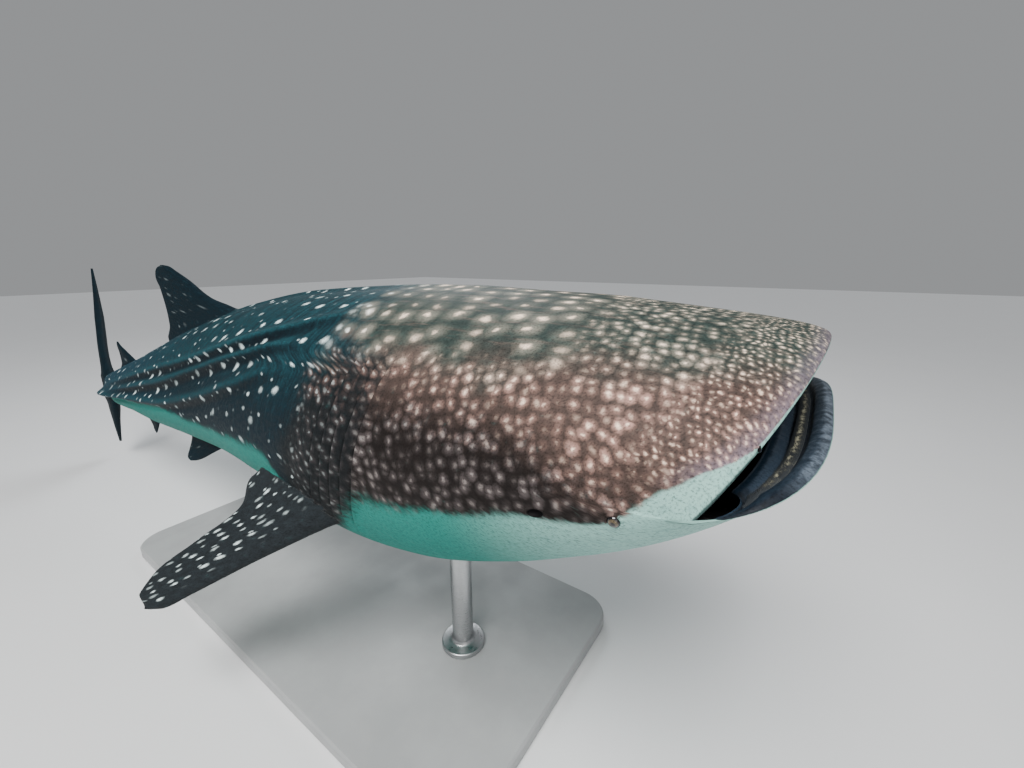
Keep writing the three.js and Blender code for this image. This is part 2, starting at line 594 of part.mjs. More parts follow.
// A fin as two alike faces over a leading and a trailing edge
function finGeometry(fin, steps = FIN_STEPS) {
  const frontAt = curve(fin.front);
  const backAtSpan = curve(fin.back);
  const root = new THREE.Vector3(...fin.root);
  const chord = new THREE.Vector3(...fin.chord).normalize();
  const span = new THREE.Vector3(...fin.span);
  const normal = new THREE.Vector3().crossVectors(chord, span).normalize();
  const positions = [];
  const indices = [];
  const across = CHORD_POINTS.length;
  for (let i = 0; i <= steps; i++) {
    const v = fin.bothTips ? towardTips(i / steps) : towardTip(i / steps);
    const from = frontAt(v);
    const to = backAtSpan(v);
    const thick = fin.thickness / 2 * (fin.bothTips ? thinToTips(v) : thinToTip(v));
    CHORD_POINTS.forEach((x, j) => {
      const middle = root.clone().addScaledVector(span, v).addScaledVector(chord, from + (to - from) * x);
      [1, -1].forEach(side => {
        const p = laid(middle.clone().addScaledVector(normal, side * thick * CHORD_THICKNESS[j]));
        positions.push(p.x, p.y, p.z);
      });
    });
  }
  const id = (i, j, lower) => 2 * (i * across + j) + lower;
  const quad = (a, b, c, d) => indices.push(a, b, c, a, c, d);
  for (let i = 0; i < steps; i++) {
    for (let j = 0; j < across - 1; j++) {
      quad(id(i, j, 0), id(i, j + 1, 0), id(i + 1, j + 1, 0), id(i + 1, j, 0));
      indices.push(id(i, j, 1), id(i + 1, j + 1, 1), id(i, j + 1, 1));
      indices.push(id(i, j, 1), id(i + 1, j, 1), id(i + 1, j + 1, 1));
    }
    quad(id(i, 0, 0), id(i + 1, 0, 0), id(i + 1, 0, 1), id(i, 0, 1));
    quad(id(i, across - 1, 0), id(i, across - 1, 1), id(i + 1, across - 1, 1), id(i + 1, across - 1, 0));
  }
  for (let j = 0; j < across - 1; j++) {
    quad(id(0, j, 0), id(0, j, 1), id(0, j + 1, 1), id(0, j + 1, 0));
    quad(id(steps, j, 0), id(steps, j + 1, 0), id(steps, j + 1, 1), id(steps, j, 1));
  }
  return facing(positions, indices);
}

// Stations of one plain length of the body
const plainStations = (from, to) => stations(from, to, BODY_PITCH).map(u => ({ u, kind: 'skin', slit: 0 }));

// Stations of the gill region, with the rings of its slits in place of the plain ones there
function gillStations() {
  const start = GILLS.first - SLIT_MARGIN.before;
  const end = GILLS.first + GILLS.pitch * (GILLS.count - 1) + SLIT_MARGIN.after;
  const list = plainStations(HEAD_END, GILLS_END).filter(r => r.u < start || r.u > end);
  for (let slit = 0; slit < GILLS.count; slit++) {
    const at = GILLS.first + GILLS.pitch * slit;
    SLIT_RINGS.forEach(([kind, offset]) => list.push({ u: at + offset, kind, slit }));
  }
  return list.sort((a, b) => a.u - b.u);
}

const BODY_LENGTHS = [
  ['gill_region', gillStations()],
  ['trunk_front', plainStations(GILLS_END, FRONT_TRUNK_END)],
  ['trunk_rear', plainStations(FRONT_TRUNK_END, REAR_TRUNK_END)],
  ['tail_stalk', plainStations(REAR_TRUNK_END, STALK_END)],
];

const bodyLoft = (list, lift = 0) => loft(list.map(r => bodyRing(r.u, lift, r.kind, r.slit)));

const root = new THREE.Group();
const shark = new THREE.Group();
shark.rotation.y = -NOSE_UP;
shark.position.z = BODY_AXIS_HEIGHT;
root.add(shark);
shark.updateMatrixWorld(true);

function addMesh(parent, name, geometry, finish) {
  geometry.computeVertexNormals();
  const mesh = new THREE.Mesh(geometry, new THREE.MeshStandardMaterial(finish));
  mesh.name = name;
  parent.add(mesh);
}

// Head and lower jaw
const head = detailedHead();
const half = GAP / 2 / TOTAL_LENGTH;
addMesh(shark, 'head', toGeometry(head.subtract(jawBlock(half))), SKIN);
addMesh(shark, 'lower_jaw', toGeometry(head.intersect(jawBlock(-half))), PALE_SKIN);
addMesh(shark, 'tooth_band_upper', toothBand(0), TEETH);
addMesh(shark, 'tooth_band_lower', toothBand(180), TEETH);

// Eyes
[['eye_right', EYE.angle], ['eye_left', 360 - EYE.angle]].forEach(([name, angle]) => {
  addMesh(shark, name, mergeVertices(placed(eyeBall(0), skinFrame(EYE.station, angle)), 1e-4), EYE_FINISH);
});

// Body lengths
BODY_LENGTHS.forEach(([name, list]) => addMesh(shark, name, bodyLoft(list), SKIN));

// Fins, each cut clear of the body enlarged by one gap
const wholeBody = BODY_LENGTHS.flatMap(([, list]) => list);
const lastRing = wholeBody[wholeBody.length - 1];
const tailEnd = { ...lastRing, u: lastRing.u + GAP / TOTAL_LENGTH };
const body = toSolid(bodyLoft([...wholeBody, tailEnd], GAP / TOTAL_LENGTH));
const cutFin = geometry => toGeometry(toSolid(geometry).subtract(body));
addMesh(shark, 'first_dorsal_fin', cutFin(finGeometry(FIRST_DORSAL)), SKIN);
addMesh(shark, 'second_dorsal_fin', cutFin(finGeometry(SECOND_DORSAL)), SKIN);
addMesh(shark, 'anal_fin', cutFin(finGeometry(ANAL)), SKIN);
addMesh(shark, 'caudal_fin', cutFin(finGeometry(CAUDAL, CAUDAL_STEPS)), SKIN);
[['pectoral', PECTORAL], ['pelvic', PELVIC]].forEach(([name, fin]) => {
  ['right', 'left'].forEach(side => {
    const turn = side === 'right' ? 1 : -1;
    const own = { ...fin };
    ['root', 'chord', 'span'].forEach(key => {
      own[key] = [fin[key][0], turn * fin[key][1], fin[key][2]];
    });
    addMesh(shark, `${name}_fin_${side}`, cutFin(finGeometry(own)), SKIN);
  });
});

// Stand: a flat base with rounded corners and two rods up to the belly
function baseGeometry() {
  const x = BASE.length / 2 - BASE.bevel;
  const y = BASE.width / 2 - BASE.bevel;
  const r = BASE.corner;
  const outline = new THREE.Shape();
  outline.moveTo(x, r - y);
  outline.lineTo(x, y - r);
  outline.absarc(x - r, y - r, r, 0, Math.PI / 2);
  outline.absarc(r - x, y - r, r, Math.PI / 2, Math.PI);
  outline.absarc(r - x, r - y, r, Math.PI, 1.5 * Math.PI);
  outline.absarc(x - r, r - y, r, 1.5 * Math.PI, 2 * Math.PI);
  const plate = new THREE.ExtrudeGeometry(outline, {
    depth: BASE.thickness - 2 * BASE.bevel,
    curveSegments: 6,
    bevelThickness: BASE.bevel,
    bevelSize: BASE.bevel,
    bevelSegments: 1,
  });
  return plate.translate(0, 0, BASE.bevel);
}

const toShark = shark.matrixWorld.clone().invert();

function rodGeometry(station) {
  const foot = spineAt(station).multiplyScalar(TOTAL_LENGTH).applyMatrix4(shark.matrixWorld);
  const bottom = BASE.thickness + GAP;
  const shoulder = bottom + RODS.collarHeight;
  const top = foot.z - RODS.into;
  const outline = [[0, bottom], [RODS.collar, bottom], [RODS.collar, shoulder],
    [RODS.radius, shoulder + RODS.slope], [RODS.radius, top], [0, top]];
  const rod = new THREE.LatheGeometry(outline.map(([r, h]) => new THREE.Vector2(r, h)), RODS.sides);
  rod.rotateX(Math.PI / 2).translate(foot.x, foot.y, 0);
  const cut = toSolid(rod.applyMatrix4(toShark)).subtract(body);
  return toGeometry(cut).applyMatrix4(shark.matrixWorld);
}

addMesh(root, 'stand_base', baseGeometry(), STAND_FINISH);
addMesh(root, 'stand_rod_front', rodGeometry(RODS.front), STAND_FINISH);
addMesh(root, 'stand_rod_rear', rodGeometry(RODS.rear), STAND_FINISH);

export default root;
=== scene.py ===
import math

import bmesh
import bpy
import numpy as np
from bpy.props import FloatProperty, FloatVectorProperty, IntProperty, PointerProperty
from mathutils import Matrix, Vector


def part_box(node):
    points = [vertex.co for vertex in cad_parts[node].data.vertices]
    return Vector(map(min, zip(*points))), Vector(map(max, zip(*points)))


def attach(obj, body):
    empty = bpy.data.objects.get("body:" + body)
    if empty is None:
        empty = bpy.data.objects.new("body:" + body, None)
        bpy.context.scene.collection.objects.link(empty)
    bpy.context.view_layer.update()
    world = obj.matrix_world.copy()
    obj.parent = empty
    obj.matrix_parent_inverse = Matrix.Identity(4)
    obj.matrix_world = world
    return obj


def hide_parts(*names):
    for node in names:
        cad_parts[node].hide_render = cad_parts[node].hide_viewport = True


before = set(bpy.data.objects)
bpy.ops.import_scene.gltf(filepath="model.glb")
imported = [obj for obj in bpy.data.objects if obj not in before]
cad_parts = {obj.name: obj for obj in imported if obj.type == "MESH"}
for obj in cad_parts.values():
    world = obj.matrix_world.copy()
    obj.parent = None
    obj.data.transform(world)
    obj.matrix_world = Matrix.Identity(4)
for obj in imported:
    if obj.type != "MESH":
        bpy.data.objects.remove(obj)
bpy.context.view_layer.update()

bl_info = {
    "name": "Whale shark model",
    "version": (1, 0, 0),
    "blender": (4, 5, 0),
    "location": "View3D > Sidebar > Whale shark",
    "description": "A life-size whale shark with an open mouth, on a plain display stand",
    "category": "Add Mesh",
}

# The flesh nodes that the one skin stands for
FLESH_NODES = [
    "head", "lower_jaw", "gill_region", "trunk_front", "trunk_rear", "tail_stalk",
    "first_dorsal_fin", "second_dorsal_fin", "anal_fin", "caudal_fin",
    "pectoral_fin_right", "pectoral_fin_left", "pelvic_fin_right", "pelvic_fin_left",
]

# Stations run from 0 at the snout to 1 at the tip of the tail. Half heights and half widths
# of the body are fractions of the total length too.
BACK = [(0, .021), (.03, .037), (.07, .0553), (.12, .0688), (.17, .0787), (.23, .084), (.32, .085),
        (.42, .079), (.52, .0655), (.6, .05), (.68, .034), (.74, .025), (.82, .017)]
BELLY = [(0, .027), (.03, .035), (.07, .0415), (.12, .0565), (.17, .068), (.23, .0735), (.32, .0625),
         (.42, .0545), (.52, .0475), (.6, .04), (.68, .027), (.74, .02), (.82, .015)]
FLANK = [(0, .076), (.03, .0805), (.07, .084), (.12, .0865), (.17, .0885), (.23, .0865), (.32, .0785),
         (.42, .064), (.52, .0525), (.6, .0425), (.68, .0285), (.74, .0185), (.78, .0115),
         (.82, .0062)]
BACK_FULLNESS = [(0, 2.3), (.1, 2.2), (.2, 2.1), (.4, 2), (.8, 1.9)]
BELLY_FULLNESS = [(0, 2.6), (.1, 2.5), (.25, 2.3), (.5, 2.1), (.8, 1.9)]

# Pose on the stand, and the bends of the body axis in radians per length
NOSE_UP = math.radians(5.4)
STAND_STATION = .34
AXIS_HEIGHT = 1.05
HEAD_LIFT_BEFORE, HEAD_LIFT_RATE = .24, 1.06
TAIL_DROP_AFTER, TAIL_DROP_RATE = .3, -.12
FORE_SWAY_AFTER, FORE_SWAY_RATE = .25, -.34
AFT_SWAY_AFTER, AFT_SWAY_BEFORE, AFT_SWAY_RATE = .68, .886, 2.3

# Ridges of the flank: angle from the top and height, along the body
RIDGES = [
    {"path": [(.085, 25), (.17, 26), (.223, 32), (.285, 42), (.35, 50), (.48, 59), (.8, 62)],
     "rise": [(.18, 0), (.24, .0014), (.32, .0036), (.5, .0036), (.66, .002), (.74, 0)]},
    {"path": [(.085, 55), (.17, 50), (.26, 48), (.325, 55), (.42, 64), (.53, 72), (.8, 76)],
     "rise": [(.23, 0), (.3, .0024), (.42, .0038), (.62, .0028), (.74, 0)]},
    {"path": [(.085, 90), (.16, 80), (.22, 62), (.26, 60), (.327, 69), (.42, 80), (.54, 89),
              (.72, 90), (.82, 90)],
     "rise": [(.24, 0), (.31, .002), (.5, .0034), (.62, .0044), (.7, .0078), (.75, .0085),
              (.79, .005), (.82, 0)]},
]
TOP_RIDGE = {"path": [(0, 0), (1, 0)],
             "rise": [(.1, 0), (.2, .0012), (.38, .003), (.44, .003), (.6, .0024), (.8, 0)]}

# Five gill slits a side
GILL_COUNT, GILL_FIRST, GILL_PITCH = 5, .1575, .0092
GILL_TOP, GILL_BOTTOM, GILL_SHORTEN = 48, 128, 3
GILL_LEAN, GILL_LEAN_TOP, GILL_LEAN_SPAN = .046, 40, 95
HEAD_END, GILLS_END, STALK_END = .125, .27, .82

# Mouth: outer edge of the lips in plan, and its heights at the front and the corner
MOUTH_HALF_WIDTH, MOUTH_CORNER = .0805, .038
UPPER_FULLNESS, LOWER_FULLNESS = 1.95, 3.3
UPPER_FRONT, CORNER_HEIGHT, LOWER_FRONT, LOWER_SET_BACK = .0232, -.0097, -.004, .0044
HEAD_STATION = .085
LIP_FADE, LEAST_LIP = 2.2, .12
SPOT_ROWS = 45
UPPER_LIP = [(0, 0), (.0022, -.0016), (.0048, -.0014), (.0066, .0014), (.0114, .002), (.013, .0045),
             (.0165, .0035), (.0195, .0045), (.021, .008)]
LOWER_LIP = [(0, 0), (.0024, .0018), (.0056, .0012), (.0078, -.0016), (.0126, -.0024), (.0142, -.0055),
             (.0175, -.003), (.0205, -.0035), (.023, -.0095)]
MOUTH_MIDDLE = (.056, .072, .028, .031)
THROAT = (.108, .056, .03, .033)
THROAT_BACK = (.113, .03, .015, .018)

# Snout: its directions at the edges of the lips, and the reach of its bends below and above
UPPER_ARRIVE, LOWER_ARRIVE, UPPER_EASE = (.4, 0, -.92), (-.75, 0, .66), .45
SNOUT_LEAVE, UPPER_LEAVE_LESS = .38, .29
SNOUT_ARRIVE, UPPER_ARRIVE_LESS = .3, .215

# Rings of the skin, and the closing of the tail stalk by station and share of its size
SNOUT_RINGS, LIP_RINGS, CAVITY_RINGS = 84, 56, 52
TAIL_TAPER = [(.825, .8), (.832, .55), (.838, .3), (.842, .12)]

# Head details, in metres and degrees
EYE_STATION, EYE_ANGLE = .06, 99
SOCKET_GAP, LID_SINK, LID_OUTSIDE = .0004, .001, .0022
SPIRACLE_STATION, SPIRACLE_ANGLE = .087, 96
SPIRACLE_RADIUS, SPIRACLE_SCALE = .015, (1.3, .7, .8)
NOSTRIL_ANGLE, NOSTRIL_SHARE = 60, .98
NOSTRIL_RADIUS, NOSTRIL_SCALE, NOSTRIL_FROM = .008, (1, 1.5, .9), (.003, 0, -.007)
BARBEL = [(-.012, .003), (-.007, .0055), (0, .006), (.012, .0045), (.024, .0026), (.034, .0008)]
BARBEL_LEAN = .12
TOOTH_REACH, TOOTH_CREAM_REACH = 76, 58

# Fins: place of the root, chord and span directions, and edges along the span
FIN_POINTS = 33
FIN_THICKNESS = [(0, 0), (.012, .36), (.04, .62), (.14, .92), (.3, 1), (.5, .84), (.75, .48),
                 (.97, .16), (1, 0)]
FIRST_DORSAL = {
    "root": (.425, 0, .045), "chord": (1, 0, 0), "span": (0, 0, .087), "thickness": .0115,
    "front": [(0, 0), (.3, .008), (.42, .034), (.54, .066), (.77, .099), (.9, .12), (.97, .132),
              (1, .1436)],
    "back": [(0, .166), (.12, .171), (.3, .16), (.5, .158), (.75, .1595), (.87, .1628), (.94, .1605),
             (.985, .155), (1, .1445)]}
SECOND_DORSAL = {
    "root": (.665, 0, .016), "chord": (1, 0, 0), "span": (0, 0, .044), "thickness": .006,
    "front": [(0, 0), (.4, .018), (.55, .026), (.73, .037), (.88, .047), (1, .0525)],
    "back": [(0, .06), (.23, .066), (.4, .058), (.7, .0565), (.86, .0575), (.95, .0565), (1, .0535)]}
ANAL = {
    "root": (.648, 0, -.014), "chord": (1, 0, 0), "span": (0, .007, -.045), "thickness": .0055,
    "front": [(0, 0), (.4, .018), (.7, .034), (.92, .047), (1, .053)],
    "back": [(0, .056), (.3, .064), (.5, .054), (.75, .053), (.92, .0555), (1, .0538)]}
PELVIC = {
    "root": (.462, -.02, -.033), "chord": (1, -.02, .1), "span": (0, -.014, -.038), "thickness": .007,
    "front": [(0, 0), (.35, .012), (.7, .036), (.88, .05), (.96, .059), (1, .067)],
    "back": [(0, .068), (.25, .076), (.5, .073), (.75, .0745), (.9, .076), (.97, .0745), (1, .0705)]}
PECTORAL = {
    "root": (.2062, -.0599, -.0205), "chord": (.994, -.091, .063), "span": (.0314, -.0741, -.0759),
    "thickness": .0155,
    "front": [(0, 0), (.16, .006), (.35, .021), (.6, .0465), (.85, .0718), (.96, .084), (1, .095)],
    "back": [(0, .087), (.18, .0973), (.34, .0866), (.6, .1008), (.85, .1146), (.96, .1132),
             (1, .0977)]}
CAUDAL = {
    "root": (.79, -.0056, -.084), "chord": (1, 0, 0), "span": (0, .018, .272), "thickness": .011,
    "front": [(0, .083), (.03, .071), (.12, .044), (.22, .018), (.31, .006), (.42, .032), (.6, .088),
              (.8, .146), (.95, .188), (1, .203)],
    "back": [(0, .086), (.03, .092), (.12, .098), (.22, .101), (.31, .105), (.42, .117), (.6, .15),
             (.8, .188), (.95, .206), (1, .2055)], "both_tips": True}

# Bounds of the skin's tones, as angles from the top by station: the start of the painted shade of the
# lower head, the start of the crown, the end of the painted light from above on the upper flank, and the
# start of the pale belly with its softness
LOW_SHADE_FROM = [(0, 64), (.034, 68), (.049, 77), (.061, 77), (.075, 70), (.09, 60), (.12, 54), (.16, 50)]
CROWN_FROM = [(0, 38), (.05, 46), (.1, 52), (.2, 50)]
LIT_FLANK_TO = [(.16, 66), (.26, 70), (.32, 66), (.42, 70), (.55, 78), (.7, 84)]
PALE_FROM = [(0, 118), (.045, 112), (.057, 103), (.065, 101), (.08, 100), (.103, 98), (.165, 97),
             (.185, 100), (.201, 108), (.225, 122), (.25, 120), (.27, 104), (.285, 96), (.34, 95),
             (.42, 100), (.5, 96), (.57, 95), (.7, 98), (.8, 98)]
PALE_SOFTNESS = [(0, 4), (.05, 5), (.1, 7), (.15, 9), (.2, 22), (.25, 20), (.3, 12), (.8, 12)]
# Width in metres of the pale edge along the lip, by angle from the top
PALE_MARGIN = [(0, .002), (21, .002), (40, .004), (50, .005), (60, .007), (65, .014), (70, .026),
               (74, .041), (79, .055), (83, .073), (88, .09), (96, .17), (101, .24), (110, .5),
               (180, .5)]

# Where the tones and the spots of the head end, in stations or in metres from the lip
HEAD_TONE_END, HEAD_TONE_UPPER, HEAD_TONE_FADE = .15, .03, .05
GILL_TONE_START, GILL_TONE_END = .1585, .205
FRONT_SPOTS_REACH, FRONT_SPOTS_FADE = .19, .08
CLOSE_SPOTS_END, WIDE_SPOTS_START, TAIL_HAZE_START = .212, .062, .42

# Spots: spacing along and round, part of it that a spot fills, shift, share of places that
# hold one, and least brightness. The first three are spaced in rows and the others in metres.
SPOTS = {
    "close": ((1, 1), .27, 3.0, 1.0, .2), "front": ((.56, .56), .3, 57.0, 1.0, .3),
    "wide": ((2.7, 2), .24, 40.0, .95, .35), "body": ((.15, .1), .165, 11.0, .85, .4),
    "faint": ((.09, .07), .14, 71.0, .6, .1), "arm": ((.04, .052), .27, 23.0, .85, .35),
}

# Fixed tones, which go with the colours that can be changed
TONES = {
    "shade": (.0012, .005, .008), "gill": (.006, .0075, .0085), "arm": (.012, .0155, .018),
    # The last two tones here are the greyer halos and spots of the painted shade on the lower head.
    "crown_halo": (.26, .245, .2), "shaded_low_halo": (.12, .1, .1), "shaded_low_spot": (.34, .3, .28),
    "lip_inner": (.012, .02, .03), "lip_thread": (.16, .24, .24), "gum": (.012, .016, .022),
    # The middle tone here is a painted highlight on the lip folds near the corners.
    "gum_band": (.05, .075, .11), "lip_fold_highlight": (.06, .12, .17), "flecks": (.05, .06, .08),
    # The last two tones here are painted shade: in the crease along the lip edge and in the gill slits.
    "belly_mottle": (.05, .12, .12), "lip_crease_shade": (.004, .008, .01), "slit": (.002, .003, .004),
    # The first tone here is painted shade in the eye sockets, spiracles and nostrils.
    "shaded_pit": (.004, .004, .0045), "iris_speckle": (.02, .016, .012), "pupil": (.004, .004, .005),
    "tooth_gum": (.03, .035, .04), "floor_cloud": (.5, .52, .54),
}

# Studio: name, place, aim, size, power and colour of each lamp, then the sun and the sky
LAMPS = [
    ("key", (1.4, -3.2, 5.6), (.2, 0, 1.2), 3.0, 520, (1, .98, .95)),
    ("fill", (4.2, -2.6, 2.2), (1.4, -.2, 1.2), 2.4, 30, (1, .96, .92)),
    ("rim", (-3.6, 4.6, 4.5), (-1, 0, 1), 3.0, 200, (.92, .97, 1)),
]
SUN_POWER, SUN_ANGLE = 1.3, math.radians(24)
SUN_TURN = (math.radians(28), math.radians(14), 0)
SKY_COLOUR, SKY_POWER = (.78, .8, .82, 1), .4
FLOOR_SIZE = 60


def colour_of(name, description, default):
    """A colour that can be changed."""
    return FloatVectorProperty(name=name, description=description, subtype="COLOR", size=3,
                               default=default)


def length_of(name, description, default):
    """A length that can be changed."""
    return FloatProperty(name=name, description=description, default=default, unit="LENGTH")


class WholeShape(bpy.types.PropertyGroup):
    """Sizes of the animal and fineness of its skin"""
    total_length: length_of("Total length", "Snout to tip of the tail", 6.0)
    columns: IntProperty(
        name="Columns", description="Points round the body", default=512, min=64)
    ridge_above: length_of("Ridge width above", "Reach of a ridge up the flank", .034)
    ridge_below: length_of("Ridge width below", "Reach of a ridge down the flank", .018)
    gill_flap: length_of("Gill flap", "Rise of a gill flap's edge", .008)
    gill_depth: length_of("Gill depth", "Depth of a gill slit", .02)
    fillet: length_of("Fin fillet", "Swelling of a fin where it leaves the body", .016)
    fillet_reach: length_of("Fin fillet reach", "How far out the swelling fades", .05)


class SkinColours(bpy.types.PropertyGroup):
    """Colours of the skin and mouth"""
    cheek: colour_of("Cheek", "Ground colour of the sides of the head", (.052, .036, .031))
    crown: colour_of("Crown", "Ground colour of the top of the head", (.02, .031, .028))
    # Painted shade: the lower head is coloured darker, as if shaded from light above.
    shadow: colour_of(
        "Low head", "Ground colour low on the head and at the gills", (.008, .006, .0055))
    back: colour_of("Back", "Ground colour behind the gills", (.002, .009, .014))
    # Painted light and real pattern: the pale cross bars, laid stronger on the upper flank as light from
    # above and on the ridge crests as highlights.
    lit_back_and_bars: colour_of(
        "Back light", "Light tone of the upper back and the ridges", (.009, .052, .064))
    # Painted water haze: the teal of the tail stalk stands for the blue-green light of the water over the
    # far body.
    tail: colour_of("Tail", "Ground colour of the tail stalk", (.005, .032, .05))
    warm_spot: colour_of("Head spots", "Cores of the spots of the head", (.92, .72, .56))
    cool_spot: colour_of("Body spots", "Spots behind the gills", (.75, .88, .88))
    halo: colour_of("Spot halo", "Soft tone round the spots of the head", (.34, .2, .165))
    belly: colour_of("Belly", "Underside near the mouth", (.24, .42, .38))
    belly_rear: colour_of("Rear belly", "Underside behind the head", (.012, .17, .14))
    lilac: colour_of("Lip haze", "Soft tone above the upper lip", (.2, .16, .2))
    lip: colour_of("Lip", "Edges of the lips in front", (.15, .19, .24))
    lip_dark: colour_of("Dark lip", "Edges of the lips towards the corners", (.006, .009, .014))
    mouth: colour_of("Mouth", "Folds inside the mouth", (.012, .026, .045))
    # Painted shade: the deep inside of the mouth is coloured near black.
    throat: colour_of("Throat", "Deep inside of the mouth", (.002, .0015, .002))


class EyeLook(bpy.types.PropertyGroup):
    """Size and colours of the eyes"""
    radius: length_of("Eye radius", "Radius of the eyeball", .014)
    sink: length_of("Eye sink", "How deep the eyeball's middle sits", .005)
    lid: length_of("Lid", "Half thickness of the ring of skin", .0036)
    iris: colour_of("Iris", "Colour of the iris", (.11, .085, .05))


class ToothLook(bpy.types.PropertyGroup):
    """The rasps of tiny teeth"""
    rows: IntProperty(name="Rows", description="Rows across a band", default=11, min=2)
    spacing: length_of("Spacing", "From tooth to tooth along a row", .0042)
    height: length_of("Height", "Height of a tooth", .0045)
    colour: colour_of("Teeth", "Colour of the teeth", (.5, .48, .34))


class StandLook(bpy.types.PropertyGroup):
    """Finish of the display stand"""
    base: colour_of("Base", "Paint of the base", (.33, .34, .345))
    rod: colour_of("Rods", "Metal of the rods", (.5, .51, .52))
    rod_radius: length_of("Rod radius", "Radius of a rod", .045)


class StageLook(bpy.types.PropertyGroup):
    """Floor, lights and camera"""
    floor: colour_of("Floor", "Colour of the floor", (.72, .73, .74))
    camera_place: FloatVectorProperty(
        name="Camera place", description="Where the camera stands", subtype="XYZ", unit="LENGTH",
        size=3, default=(1.923, -1.177, 1.718))
    camera_turn: FloatProperty(
        name="Camera turn", description="Turn of the view from straight across the side",
        default=math.radians(34.9), subtype="ANGLE")
    camera_tilt: FloatProperty(
        name="Camera tilt", description="How far the camera looks down",
        default=math.radians(15.9), subtype="ANGLE")
    lens: FloatProperty(
        name="Lens", description="Focal length in mm on a 36 mm wide sensor", default=15.47)


def curve(points):
    """A smooth curve through a short list of (place, value), without overshoot."""
    place = np.array([p[0] for p in points], float)
    value = np.array([p[1] for p in points], float)
    width = np.diff(place)
    rise = np.diff(value) / width
    slope = np.empty(len(place))
    slope[0] = rise[0]
    slope[-1] = rise[-1]
    for i in range(1, len(place) - 1):
        a = 2 * width[i] + width[i - 1]
        b = width[i] + 2 * width[i - 1]
        turns = rise[i - 1] * rise[i] <= 0
        slope[i] = 0 if turns else (a + b) / (a / rise[i - 1] + b / rise[i])

    def at(x):
        x = np.clip(x, place[0], place[-1])
        i = np.clip(np.searchsorted(place, x, side="right") - 1, 0, len(place) - 2)
        t = (x - place[i]) / width[i]
        tt = t * t
        ttt = tt * t
        return ((2 * ttt - 3 * tt + 1) * value[i] + (ttt - 2 * tt + t) * width[i] * slope[i]
                + (3 * tt - 2 * ttt) * value[i + 1] + (ttt - tt) * width[i] * slope[i + 1])

    return at


def smooth(t):
    """0 below 0, 1 above 1, eased between."""
    t = np.clip(t, 0, 1)
    return t * t * (3 - 2 * t)


def signed_power(v, p):
    return np.sign(v) * np.abs(v) ** p


BACK_AT = curve(BACK)
BELLY_AT = curve(BELLY)
FLANK_AT = curve(FLANK)
BACK_FULLNESS_AT = curve(BACK_FULLNESS)
BELLY_FULLNESS_AT = curve(BELLY_FULLNESS)
RIDGE_CURVES = [(curve(r["path"]), curve(r["rise"])) for r in [TOP_RIDGE, *RIDGES]]


def sway_at(u):
    return (FORE_SWAY_RATE * np.maximum(u - FORE_SWAY_AFTER, 0)
            + AFT_SWAY_RATE * np.clip(u - AFT_SWAY_AFTER, 0, AFT_SWAY_BEFORE - AFT_SWAY_AFTER))


def slope_at(u):
    return (TAIL_DROP_RATE * np.maximum(u - TAIL_DROP_AFTER, 0)
            - HEAD_LIFT_RATE * np.maximum(HEAD_LIFT_BEFORE - u, 0))


def spine_table():
    """Stations and places of the bent body axis, as fractions of the length."""
    step = .0005
    u = np.arange(-.06, 1.1, step)
    middle = u[:-1] + step / 2
    sway = sway_at(middle)
    slope = slope_at(middle)
    steps = np.stack([-np.cos(sway) * np.cos(slope), np.sin(sway), np.sin(slope)], 1) * step
    places = np.vstack([np.zeros(3), np.cumsum(steps, 0)])
    for k, start in enumerate((STAND_STATION - HEAD_LIFT_BEFORE, 0, 0)):
        places[:, k] += start - np.interp(HEAD_LIFT_BEFORE, u, places[:, k])
    return u, places


SPINE_U, SPINE_PLACES = spine_table()


def total_length():
    return bpy.context.scene.shark_shape.total_length


def place(points):
    """Points of the straight animal (station, sideways, height) laid on the bent axis and the
    stand, in metres."""
    points = np.asarray(points, float)
    u, y, z = points[..., 0], points[..., 1], points[..., 2]
    axis = np.stack([np.interp(u, SPINE_U, SPINE_PLACES[:, k]) for k in range(3)], -1)
    sway = sway_at(u)
    slope = slope_at(u)
    left = np.stack([np.sin(sway), np.cos(sway), np.zeros_like(sway)], -1)
    up = np.stack([np.cos(sway) * np.sin(slope), -np.sin(sway) * np.sin(slope), np.cos(slope)], -1)
    p = (axis + y[..., None] * left + z[..., None] * up) * total_length()
    c, s = math.cos(NOSE_UP), math.sin(NOSE_UP)
    return np.stack([p[..., 0] * c - p[..., 2] * s, p[..., 1],
                     p[..., 0] * s + p[..., 2] * c + AXIS_HEIGHT], -1)


def section(u, degrees):
    """Sideways and height of the skin at a station and an angle from the top."""
    a = np.radians(degrees)
    s, c = np.sin(a), np.cos(a)
    fullness = np.where(c > 0, BACK_FULLNESS_AT(u), BELLY_FULLNESS_AT(u))
    height = np.where(c > 0, BACK_AT(u), BELLY_AT(u))
    y = -FLANK_AT(u) * signed_power(s, 2 / fullness)
    return y, height * signed_power(c, 2 / fullness)


def side_angle(degrees):
    """The same angle counted from the top on either side, 0 to 180."""
    return np.where(degrees > 180, 360 - degrees, degrees)


